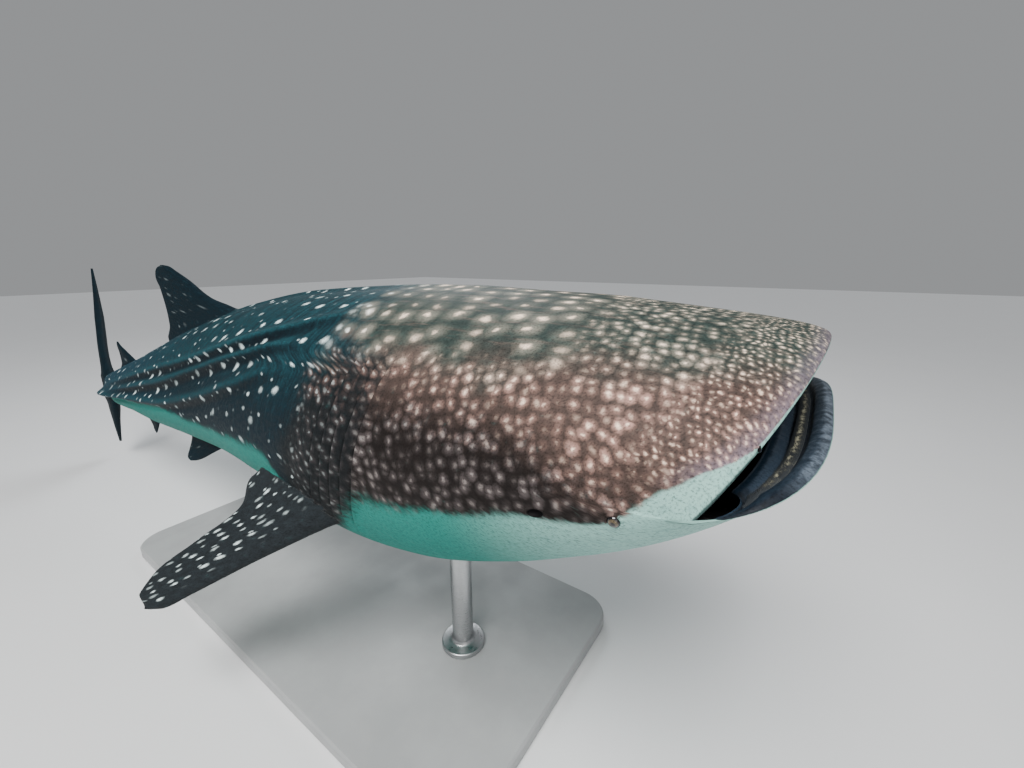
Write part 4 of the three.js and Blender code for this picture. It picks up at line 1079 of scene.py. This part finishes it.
def skin_spots(graph, at, ground, low, crown, patch):
    """Lays the spots and their halos on the ground tones."""
    colours = bpy.context.scene.shark_colours
    bend = graph.vector("SUBTRACT", graph.noise(at, 20, 2, .5, True), (.5, .5, .5))
    fray = graph.vector("SUBTRACT", graph.noise(at, 100, 2, .5, True), (.5, .5, .5))
    warp = graph.vector("ADD", graph.vector("MULTIPLY", bend, (.8, .8, 0)),
                        graph.vector("MULTIPLY", fray, (.3, .3, 0)))
    rows = graph.vector("ADD", graph.join(graph.field("flow"), graph.field("turn")), warp)
    metres = graph.vector("ADD", at, graph.vector("MULTIPLY", warp, (.03, .03, 0)))
    close, close_halo = spot_layer(graph, rows, *SPOTS["close"])
    tiny, tiny_halo = spot_layer(graph, rows, *SPOTS["front"])
    wide, wide_halo = spot_layer(graph, rows, *SPOTS["wide"])
    body, faint, arm = (spot_layer(graph, metres, *SPOTS[key])[0] for key in ("body", "faint", "arm"))
    even_light = graph.ease(patch, .3, .68, .4, 1.1)
    near, far = graph.field("close_spots"), graph.field("wide_spots")
    # Painted shade on the lower head dims the spots and halos and turns them greyer; spots are dimmed at
    # the gills too.
    strength = graph.times(graph.times(even_light, graph.ease(low, 0, 1, 1, .5)),
                           graph.ease(graph.field("gill"), 0, 1, 1, .5))
    halo_tone = graph.mix(low, graph.mix(crown, colours.halo, TONES["crown_halo"]), TONES["shaded_low_halo"])
    front = graph.field("front_spots")
    halo = graph.plus(graph.times(near, close_halo), graph.times(graph.times(far, wide_halo), .6))
    halo = graph.plus(halo, graph.times(graph.times(front, tiny_halo), .8))
    halo = graph.math("MULTIPLY", graph.times(halo, strength), 1.25, True)
    skin = graph.mix(halo, ground, halo_tone)
    warm_tone = graph.mix(low, colours.warm_spot, TONES["shaded_low_spot"])
    spot_tone = graph.mix(graph.field("head"), colours.cool_spot, warm_tone)
    spots = graph.times(graph.times(near, close), strength)
    spots = graph.math("MAXIMUM", spots, graph.times(graph.times(front, tiny), .85))
    spots = graph.math("MAXIMUM", spots, graph.times(far, wide))
    spots = graph.math("MAXIMUM", spots, graph.times(graph.field("body_spots"), graph.math(
        "MAXIMUM", body, graph.times(faint, .5))))
    spots = graph.math("MAXIMUM", spots, graph.times(graph.field("arm"), arm))
    return graph.mix(graph.times(graph.times(spots, graph.field("spotted")), .95), skin, spot_tone)


def mouth_tones(graph, skin, at, mottle):
    """Lays the tones of the lips, the folds behind them and the throat over the skin."""
    colours = bpy.context.scene.shark_colours
    lip, side = graph.field("lip"), graph.field("side")
    uneven = graph.times(graph.math("SUBTRACT", mottle, .5), 1.2)
    front = graph.ease(graph.plus(side, graph.times(uneven, 30)), 118, 146)
    above = graph.ease(side, 92, 84)
    blotch = graph.ease(mottle, .36, .62, 1, .25)
    rim = graph.mix(graph.times(graph.times(front, blotch), .65), colours.lip_dark, colours.lip)
    inner = graph.ease(graph.plus(lip, graph.times(uneven, .8)), .7, 1.3, 0, .8)
    rim = graph.mix(inner, rim, TONES["lip_inner"])
    thin = graph.times(graph.ease(lip, .35, .6), graph.ease(lip, 1.5, 1.1))
    rim = graph.mix(graph.times(above, thin), rim, TONES["lip_thread"])
    wavy = graph.plus(lip, graph.times(uneven, .5))
    gum = graph.mix(graph.ease(wavy, 2.1, 2.6), rim, TONES["gum"])
    band = graph.times(graph.ease(wavy, 4.1, 4.5), graph.ease(wavy, 6.2, 5.8))
    gum = graph.mix(graph.times(graph.times(band, front), .8), gum, TONES["gum_band"])
    # Painted highlight: a light blue patch on the dark lip fold near the corners.
    corner = graph.times(graph.ease(side, 98, 106), graph.ease(side, 134, 122))
    middle = graph.times(graph.ease(wavy, 2.4, 3), graph.ease(wavy, 5, 4.2))
    gum = graph.mix(graph.times(corner, middle), gum, TONES["lip_fold_highlight"])
    fold = graph.mix(graph.times(graph.ease(wavy, 5.8, 6.2), .9), gum, colours.mouth)
    line = graph.times(graph.ease(lip, 6.4, 6.6), graph.ease(lip, 6.95, 6.75))
    fold = graph.mix(graph.times(line, .45), fold, colours.lip)
    flecks = graph.ease(graph.noise(at, 130, 2, .5), .66, .74, 0, .3)
    # Painted shade: the throat coloured near black, with flecks.
    throat = graph.mix(flecks, colours.throat, TONES["flecks"])
    inside = graph.mix(graph.ease(lip, 7.1, 7.6), fold, throat)
    return graph.mix(graph.ease(lip, .02, .14), skin, inside)


def skin_material():
    """Spotted skin, pale belly, lips and mouth."""
    colours = bpy.context.scene.shark_colours
    graph = Graph("spotted_skin")
    at = graph.join(graph.field("along"), graph.field("girth"))
    mottle = graph.noise(at, 42, 4, .62)
    patch = graph.noise(at, 6.5, 3, .55)
    ground, low, crown = skin_ground(graph, at, mottle, patch)
    skin = skin_spots(graph, at, ground, low, crown, patch)
    haze = graph.times(graph.field("haze"), graph.ease(mottle, .3, .66, .45, 1))
    skin = graph.mix(graph.times(haze, .75), skin, colours.lilac)
    belly = graph.mix(graph.field("belly_rear"), colours.belly, colours.belly_rear)
    edge = graph.plus(graph.field("pale"), graph.times(graph.math("SUBTRACT", mottle, .5), 1.1))
    pale = graph.ease(edge, .1, .9)
    belly = graph.mix(graph.ease(mottle, .5, .75, 0, .35), belly, TONES["belly_mottle"])
    skin = graph.mix(pale, skin, belly)
    # Painted shade in the crease along the lip edge.
    skin = graph.mix(graph.times(graph.field("lip_crease_shade"), .85), skin, TONES["lip_crease_shade"])
    # Painted shade: the gill slits coloured near black.
    skin = graph.mix(graph.field("slit"), skin, TONES["slit"])
    # Painted shade in the eye sockets, spiracles and nostrils.
    skin = graph.mix(graph.field("shaded_pit"), skin, TONES["shaded_pit"])
    skin = mouth_tones(graph, skin, at, mottle)
    speck = graph.ease(graph.noise(at, 190, 3, .7), .46, .7, 1.15, .45)
    skin = graph.vector("MULTIPLY", skin, graph.join(speck, speck, speck))
    wet = graph.ease(graph.field("lip"), 0, .4, 0, .16)
    rough = graph.math("SUBTRACT", graph.ease(mottle, .3, .7, .56, .72), wet)
    graph.set(Base_Color=skin, Roughness=rough, IOR=1.38, Specular_IOR_Level=.16)
    fine = graph.noise(at, 420, 3, .7)
    folds = graph.noise(graph.vector("MULTIPLY", at, (60, 9, 0)), 1.0, 4, .6)
    normal = graph.bump(folds, .003, .5)
    normal = graph.bump(mottle, .002, .5, normal)
    graph.set(Normal=graph.bump(fine, .001, .45, normal))
    return graph.material


def paint_fields(mesh):
    """Masks of the skin's tones, painted light and shade among them, worked out from its stations and
    angles.
    """
    names = ("along", "station", "gill_station", "side", "fin", "girth", "lip", "seam")
    along, station, behind, side, fin, girth, lip, seam = (read_field(mesh, name) for name in names)
    body = 1 - smooth(fin)
    outside = body * (lip < .01)
    wave = 2.5 * np.sin(along * 9 + 1.3) + 1.6 * np.sin(along * 23 + np.sign(girth) * 1.7)
    upper_side = smooth((52 - side) / 10)
    head = 1 - smooth((behind - HEAD_TONE_END - HEAD_TONE_UPPER * upper_side) / HEAD_TONE_FADE)
    gill = smooth((behind - GILL_TONE_START) / .005) * smooth((side - 46 - wave) / 14) * (
        1 - smooth((behind - GILL_TONE_END - .03 * smooth((side - 70) / 25)) / .04))
    # Painted light from above on the upper flank, fading below this angle.
    upper = smooth((curve(LIT_FLANK_TO)(station) - side + 12) / 34)
    soft = curve(PALE_SOFTNESS)(station)
    pale = smooth((side - curve(PALE_FROM)(station) - .4 * wave) / soft + .5)
    margin = curve(PALE_MARGIN)(side)
    pale = np.maximum(pale, smooth((margin - along) / (.3 * margin) + .5))
    haze = smooth((margin + .05 - along) / .06) * smooth((84 - side) / 14)
    # Painted shade in the crease just outside the lip edge, towards the mouth corners.
    lip_crease_shade = smooth((.0055 - along) / .003) * smooth((side - 58) / 6) * smooth((100 - side) / 6)
    # Painted highlight along each ridge crest, and painted shade in the band below it, as if lit from
    # above.
    crest_highlight = np.zeros(len(along))
    shade = np.zeros(len(along))
    radius = (FLANK_AT(station) + BACK_AT(station)) / 2 * total_length()
    for path, rise in RIDGE_CURVES[1:]:
        away = np.radians(side - path(station)) * radius
        strong = smooth(rise(station) / .0032)
        crest_highlight = np.maximum(crest_highlight, strong * np.exp(-((away + .008) / .016) ** 2))
        band = smooth((away - .004) / .012) * smooth((.062 - away) / .034)
        shade = np.maximum(shade, .85 * band * strong)
    # Painted highlight: a thin light line along the first ridge's crest.
    ridge_line_highlight = np.radians(side - RIDGE_CURVES[1][0](station)) * radius
    ridge_line_highlight = np.exp(-(ridge_line_highlight / .0035) ** 2) * smooth((station - .19) / .01)
    ridge_line_highlight *= smooth((.31 - station) / .03)
    close_end = 1 - smooth((behind - CLOSE_SPOTS_END) / .02)
    tiny = smooth((FRONT_SPOTS_REACH - along) / FRONT_SPOTS_FADE) * smooth((84 - side) / 12) * (lip < .01)
    wide = smooth((station - WIDE_SPOTS_START) / .02) * smooth((56 - side) / 10)
    arm = smooth(fin) * (station < .4) * (side >= 0)
    plain_lead = np.where(fin > .5, smooth((side / 180 - .16) / .12), 1)
    fields = {
        # The low mask is painted shade on the lower head.
        "pale": pale * outside, "head": head, "low": (side - curve(LOW_SHADE_FROM)(station)) / 26,
        "crown": (curve(CROWN_FROM)(station) - side) / 22 + .5, "gill": gill * .94,
        # Painted light from above on the upper flank, kept off the painted shade under the ridges.
        "upper": upper * (1 - shade), "upper_less": 1 - upper,
        # Painted water haze towards the tail, and painted shade under the ridges.
        "rear": .9 * smooth((station - TAIL_HAZE_START) / .3), "shade": shade * body,
        # Painted highlight on the ridge crests.
        "crest_highlight": np.maximum(crest_highlight, ridge_line_highlight), "belly_rear": smooth((station - .055) / .085),
        # Painted shade in the crease along the lip edge.
        "haze": haze * outside, "lip_crease_shade": lip_crease_shade * outside,
        "close_spots": close_end * (1 - wide) * body * (1 - tiny), "front_spots": tiny * body,
        "wide_spots": wide * close_end * body,
        "body_spots": (1 - close_end) * body + smooth(fin) * (1 - arm), "arm": arm,
        "fin": smooth(fin) * (1 - arm),
        "spotted": read_field(mesh, "spotted") * plain_lead * (1 - .8 * seam) * (1 - pale * outside),
    }
    for name, values in fields.items():
        write_field(mesh, name, values)


def fill_fields(mesh):
    """Spreads the skin's fields over joined parts that have none and over the blended joins."""
    edges = mesh_edges(mesh)
    both = np.vstack([edges, edges[:, ::-1]])
    fin, skin = read_field(mesh, "fin"), read_field(mesh, "skin")
    known = (skin > .999) & ((fin < .001) | (fin > .999))
    source = np.arange(len(skin))
    while not known.all():
        step = both[known[both[:, 0]] & ~known[both[:, 1]]]
        if not len(step):
            break
        source[step[:, 1]] = source[step[:, 0]]
        known[step[:, 1]] = True
    for layer in list(mesh.attributes):
        if layer.data_type == "FLOAT" and layer.name not in ("shaded_pit", "skin", "seam"):
            write_field(mesh, layer.name, read_field(mesh, layer.name)[source])


def finish_piece(piece, material, nodes):
    piece.data.materials.clear()
    piece.data.materials.append(material)
    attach(piece, "root")
    if nodes:
        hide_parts(*nodes)


class MakeSkin(bpy.types.Operator):
    """Makes the shark's whole skin with its fins, gills, lips and mouth"""
    bl_idname = "shark.make_skin"
    bl_label = "Make skin"

    def execute(self, context):
        eye = context.scene.shark_eyes
        skin = body_object()
        skin.name = "shark_skin"
        fins = [
            fin_object("first_dorsal", FIRST_DORSAL, 180, spotted=.15),
            fin_object("second_dorsal", SECOND_DORSAL, 110, spotted=.15),
            fin_object("anal", ANAL, 110),
            fin_object("caudal", CAUDAL, 340),
        ]
        for mirror in (False, True):
            fins.append(fin_object("pectoral", PECTORAL, 200, mirror, 1))
            fins.append(fin_object("pelvic", PELVIC, 110, mirror))
        boolean(skin, fins, "UNION")
        smooth_joins(skin.data)
        rim = math.sqrt(eye.radius ** 2 - eye.sink ** 2)
        added = []
        cut = []
        for turn in (1, -1):
            eye_at, vent_at, nose_at = (turn * angle % 360 for angle in (
                EYE_ANGLE, SPIRACLE_ANGLE, NOSTRIL_ANGLE))
            look = skin_frame(EYE_STATION, eye_at)
            ring = look @ Matrix.Translation((0, 0, -LID_SINK))
            added.append(ring_solid("lid", ring, rim + LID_OUTSIDE, eye.lid))
            cut.append(ball_solid("socket", look, eye.radius + SOCKET_GAP, centre=(0, 0, -eye.sink)))
            vent = skin_frame(SPIRACLE_STATION, vent_at)
            cut.append(ball_solid("vent", vent, SPIRACLE_RADIUS, SPIRACLE_SCALE))
            nose = nostril_frame(nose_at)
            added.append(barbel_solid("barbel", nose))
            cut.append(ball_solid("nostril", nose, NOSTRIL_RADIUS, NOSTRIL_SCALE, NOSTRIL_FROM))
        boolean(skin, added, "UNION")
        # The cut faces of the eye sockets, spiracles and nostrils get painted shade.
        for shaded_pit in cut:
            write_field(shaded_pit.data, "shaded_pit", np.ones(len(shaded_pit.data.vertices)))
        boolean(skin, cut, "DIFFERENCE")
        fill_fields(skin.data)
        paint_fields(skin.data)
        skin.data.polygons.foreach_set("use_smooth", np.ones(len(skin.data.polygons), bool))
        finish_piece(skin, skin_material(), FLESH_NODES)
        return {"FINISHED"}


def eye_material():
    """Dark wet eye with a faint iris ring."""
    look = bpy.context.scene.shark_eyes
    graph = Graph("wet_eye")
    off_axis = graph.field("off_axis")
    ring = graph.times(graph.ease(off_axis, .3, .36), graph.ease(off_axis, .6, .75, 1, 0))
    speckle = graph.noise(graph.node("ShaderNodeTexCoord").outputs["Object"], 900, 3, .6)
    iris = graph.mix(graph.ease(speckle, .35, .7), look.iris, TONES["iris_speckle"])
    colour = graph.mix(ring, TONES["pupil"], iris)
    graph.set(Base_Color=colour, Roughness=.08, IOR=1.42, Coat_Weight=.6, Coat_Roughness=.03)
    return graph.material


class MakeEyes(bpy.types.Operator):
    """Makes the two small eyes"""
    bl_idname = "shark.make_eyes"
    bl_label = "Make eyes"

    def execute(self, context):
        look = context.scene.shark_eyes
        material = eye_material()
        for name, angle in (("eye_right", EYE_ANGLE), ("eye_left", 360 - EYE_ANGLE)):
            matrix = skin_frame(EYE_STATION, angle)
            ball = ball_solid(name + "_ball", Matrix.Identity(4), look.radius, segments=64)
            points = read_points(ball.data)
            off_axis = np.linalg.norm(points[:, :2], axis=1) / look.radius
            off_axis = np.where(points[:, 2] > 0, off_axis, 1)
            bulge = 1 + .05 * (1 - smooth(off_axis / .6)) * (points[:, 2] > 0)
            points *= bulge[:, None]
            points[:, 2] -= look.sink
            ball.data.vertices.foreach_set("co", points.astype(np.float32).ravel())
            write_field(ball.data, "off_axis", off_axis)
            ball.data.transform(matrix)
            ball.data.polygons.foreach_set("use_smooth", np.ones(len(ball.data.polygons), bool))
            finish_piece(ball, material, [name])
        return {"FINISHED"}


def tooth_material():
    look = bpy.context.scene.shark_teeth
    graph = Graph("tooth_rasp")
    place_at = graph.node("ShaderNodeTexCoord").outputs["Object"]
    tone = graph.noise(place_at, 85, 4, .7)
    shown = graph.times(graph.ease(tone, .49, .58), graph.field("cream"))
    graph.set(Base_Color=graph.mix(shown, TONES["tooth_gum"], look.colour), Roughness=.4)
    return graph.material


def tooth_band(name, centre):
    """A strip of gum on the inner side of a lip with rows of tiny teeth on it."""
    look = bpy.context.scene.shark_teeth
    upper = centre == 0
    turns = np.linspace(-TOOTH_REACH, TOOTH_REACH, 260)
    angles = (centre + turns) % 360
    low = lip_point(angles, (UPPER_LIP[3], LOWER_LIP[3]))
    high = lip_point(angles, (UPPER_LIP[4], LOWER_LIP[4]))
    up = -1 if upper else 1
    ease = .35 + .65 * smooth((TOOTH_REACH - np.abs(turns)) / 14)
    shares = np.linspace(.08, .92, 9)
    crown = np.sin(np.pi * np.linspace(0, 1, 9)) ** .5
    over = np.array([low + (high - low) * s for s in shares])
    over[..., 2] += up * (.00012 + .0009 * crown[:, None] * ease)
    under = np.array([low + (high - low) * s for s in shares[::-1]])
    under[..., 2] += up * -.0003
    loop = np.concatenate([over, under]).transpose(1, 0, 2)
    cream = smooth((TOOTH_CREAM_REACH - np.abs(turns)) / 24)
    gum = closed_loft(name, place(loop), {"cream": .12 * cream[:, None] * np.ones(len(loop[0]))})
    outward_mesh(gum)
    grid = place(over)
    rng = np.random.default_rng(7 if upper else 8)
    points, faces, creams = [], [], []
    run = np.concatenate([[0], np.cumsum(np.linalg.norm(np.diff(grid[4], axis=0), axis=1))])
    count = int(run[-1] / look.spacing)
    for row in range(look.rows):
        across = 8 * (row + .5) / look.rows
        i = min(int(across), 7)
        line = grid[i] * (1 - across + i) + grid[i + 1] * (across - i)
        spots = (np.arange(count) + .5 * (row % 2) + rng.uniform(-.22, .22, count)) * look.spacing
        spots = spots[(spots > .002) & (spots < run[-1] - .002)]
        roots = np.stack([np.interp(spots, run, line[:, k]) for k in range(3)], 1)
        next_roots = np.stack([np.interp(spots + .002, run, line[:, k]) for k in range(3)], 1)
        tangent = next_roots - roots
        tangent /= np.linalg.norm(tangent, axis=1, keepdims=True)
        lift = np.array([-.25, 0, up])
        lift = lift / np.linalg.norm(lift)
        inner = np.cross(tangent, lift)
        size = rng.uniform(.7, 1.2, len(roots))[:, None]
        for turn, push in ((tangent, 1), (inner, 1), (tangent, -1), (inner, -1)):
            points.append(roots + turn * push * .0013 * size - lift * .0006)
        points.append(roots + lift * look.height * size + np.array([-.0012, 0, 0]) * size)
        middle_row = math.exp(-((row + .5) / look.rows - .42) ** 2 / .03)
        creams += [np.interp(spots, run, cream) * middle_row] * 5
        start = sum(len(p) for p in points[:-5])
        n = len(roots)
        base = start + np.arange(n)
        ring = [base + k * n for k in range(4)]
        tip = base + 4 * n
        for k in range(4):
            faces.append(np.stack([ring[k], ring[(k + 1) % 4], tip], 1))
        faces.append(np.stack([ring[3], ring[2], ring[1]], 1))
        faces.append(np.stack([ring[3], ring[1], ring[0]], 1))
    teeth = mesh_object(name + "_teeth", np.concatenate(points), np.zeros((0, 4), int),
                        np.concatenate(faces), {"cream": np.concatenate(creams)})
    teeth.data.polygons.foreach_set("use_smooth", np.zeros(len(teeth.data.polygons), bool))
    return gum, outward_mesh(teeth)


class MakeTeeth(bpy.types.Operator):
    """Makes the two bands of tiny teeth inside the lips"""
    bl_idname = "shark.make_teeth"
    bl_label = "Make teeth"

    def execute(self, context):
        material = tooth_material()
        for side, centre in (("upper", 0), ("lower", 180)):
            gum, teeth = tooth_band("tooth_band_" + side + "_gum", centre)
            finish_piece(gum, material, ["tooth_band_" + side])
            finish_piece(teeth, material, [])
        return {"FINISHED"}


def paint_material():
    look = bpy.context.scene.shark_stand
    graph = Graph("satin_paint")
    at = graph.node("ShaderNodeTexCoord").outputs["Object"]
    cloud = graph.noise(at, 3, 4, .6)
    grain = graph.noise(at, 260, 3, .6)
    darker = tuple(c * .86 for c in look.base)
    graph.set(Base_Color=graph.mix(graph.ease(cloud, .3, .7), look.base, darker),
              Roughness=graph.ease(cloud, .3, .7, .38, .5), Normal=graph.bump(grain, .0006, .35))
    return graph.material


def rod_material():
    look = bpy.context.scene.shark_stand
    graph = Graph("brushed_rod")
    at = graph.node("ShaderNodeTexCoord").outputs["Object"]
    lines = graph.noise(graph.vector("MULTIPLY", at, (24, 24, 900)), 1.0, 3, .6)
    graph.set(Base_Color=graph.mix(lines, look.rod, tuple(c * .75 for c in look.rod)), Metallic=1.0,
              Roughness=graph.ease(lines, .3, .7, .25, .42), Normal=graph.bump(lines, .0002, .4))
    return graph.material


class FinishStand(bpy.types.Operator):
    """Paints the base and makes the round rods of the stand"""
    bl_idname = "shark.finish_stand"
    bl_label = "Finish stand"

    def execute(self, context):
        look = context.scene.shark_stand
        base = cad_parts["stand_base"]
        base.data.materials.clear()
        base.data.materials.append(paint_material())
        material = rod_material()
        for name in ("stand_rod_front", "stand_rod_rear"):
            low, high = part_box(name)
            x, y = (low.x + high.x) / 2, (low.y + high.y) / 2
            collar = (high.x - low.x) / 2
            r = look.rod_radius
            profile = [(.002, low.z), (collar - .003, low.z), (collar, low.z + .003),
                       (collar, low.z + .02), (collar - .004, low.z + .024), (r + .014, low.z + .027),
                       (r + .006, low.z + .031), (r, low.z + .042), (r, high.z - .012),
                       (r - .01, high.z), (.002, high.z)]
            around = np.linspace(0, 2 * np.pi, 97)[:-1]
            rings = [[(x + reach * math.cos(a), y + reach * math.sin(a), h) for a in around]
                     for reach, h in profile]
            rod = outward_mesh(closed_loft(name + "_round", np.array(rings)))
            bevel = rod.modifiers.new("edges", "BEVEL")
            bevel.width = .0015
            bevel.segments = 2
            bevel.angle_limit = math.radians(28)
            finish_piece(rod, material, [name])
        return {"FINISHED"}


class MakeStage(bpy.types.Operator):
    """Makes the floor, the lights and the camera"""
    bl_idname = "shark.make_stage"
    bl_label = "Make stage"

    def execute(self, context):
        look = context.scene.shark_stage
        scene = context.scene
        bpy.ops.mesh.primitive_plane_add(size=FLOOR_SIZE)
        floor = context.object
        floor.name = "floor"
        graph = Graph("pale_floor")
        at = graph.node("ShaderNodeTexCoord").outputs["Object"]
        cloud = graph.noise(at, 1.5, 4, .5)
        floor_tone = graph.mix(graph.times(cloud, .12), look.floor, TONES["floor_cloud"])
        graph.set(Base_Color=floor_tone, Roughness=.6)
        floor.data.materials.append(graph.material)
        for name, where, aim, size, power, colour in LAMPS:
            data = bpy.data.lights.new(name, "AREA")
            data.energy = power
            data.size = size
            data.color = colour
            lamp = bpy.data.objects.new(name, data)
            lamp.location = where
            lamp.rotation_euler = (Vector(aim) - Vector(where)).to_track_quat("-Z", "Y").to_euler()
            scene.collection.objects.link(lamp)
        sun = bpy.data.lights.new("soft_sun", "SUN")
        sun.energy = SUN_POWER
        sun.angle = SUN_ANGLE
        above = bpy.data.objects.new("soft_sun", sun)
        above.rotation_euler = SUN_TURN
        scene.collection.objects.link(above)
        world = bpy.data.worlds.new("studio")
        world.use_nodes = True
        sky = world.node_tree.nodes["Background"]
        sky.inputs[0].default_value = SKY_COLOUR
        sky.inputs[1].default_value = SKY_POWER
        scene.world = world
        lens = bpy.data.cameras.new("camera")
        lens.lens = look.lens
        lens.sensor_width = 36
        lens.clip_end = 200
        camera = bpy.data.objects.new("camera", lens)
        camera.location = look.camera_place
        camera.rotation_euler = (math.pi / 2 - look.camera_tilt, 0, look.camera_turn)
        scene.collection.objects.link(camera)
        scene.camera = camera
        return {"FINISHED"}


class SharkPanel(bpy.types.Panel):
    """Sizes, colours and steps of the whale shark"""
    bl_idname = "VIEW3D_PT_whale_shark"
    bl_label = "Whale shark"
    bl_space_type = "VIEW_3D"
    bl_region_type = "UI"
    bl_category = "Whale shark"

    def draw(self, context):
        layout = self.layout
        for name, _ in GROUPS:
            group = getattr(context.scene, name)
            box = layout.box()
            for key in group.__annotations__:
                box.prop(group, key)
        for step in STEPS:
            layout.operator(step.bl_idname)


GROUPS = [
    ("shark_shape", WholeShape), ("shark_colours", SkinColours), ("shark_eyes", EyeLook),
    ("shark_teeth", ToothLook), ("shark_stand", StandLook), ("shark_stage", StageLook),
]
STEPS = [MakeSkin, MakeEyes, MakeTeeth, FinishStand, MakeStage]


def register():
    for name, group in GROUPS:
        bpy.utils.register_class(group)
        setattr(bpy.types.Scene, name, PointerProperty(type=group))
    for item in [*STEPS, SharkPanel]:
        bpy.utils.register_class(item)


def unregister():
    for item in [SharkPanel, *reversed(STEPS)]:
        bpy.utils.unregister_class(item)
    for name, group in reversed(GROUPS):
        delattr(bpy.types.Scene, name)
        bpy.utils.unregister_class(group)


def main():
    register()
    bpy.ops.shark.make_skin()
    bpy.ops.shark.make_eyes()
    bpy.ops.shark.make_teeth()
    bpy.ops.shark.finish_stand()
    bpy.ops.shark.make_stage()


if __name__ == "__main__":
    main()
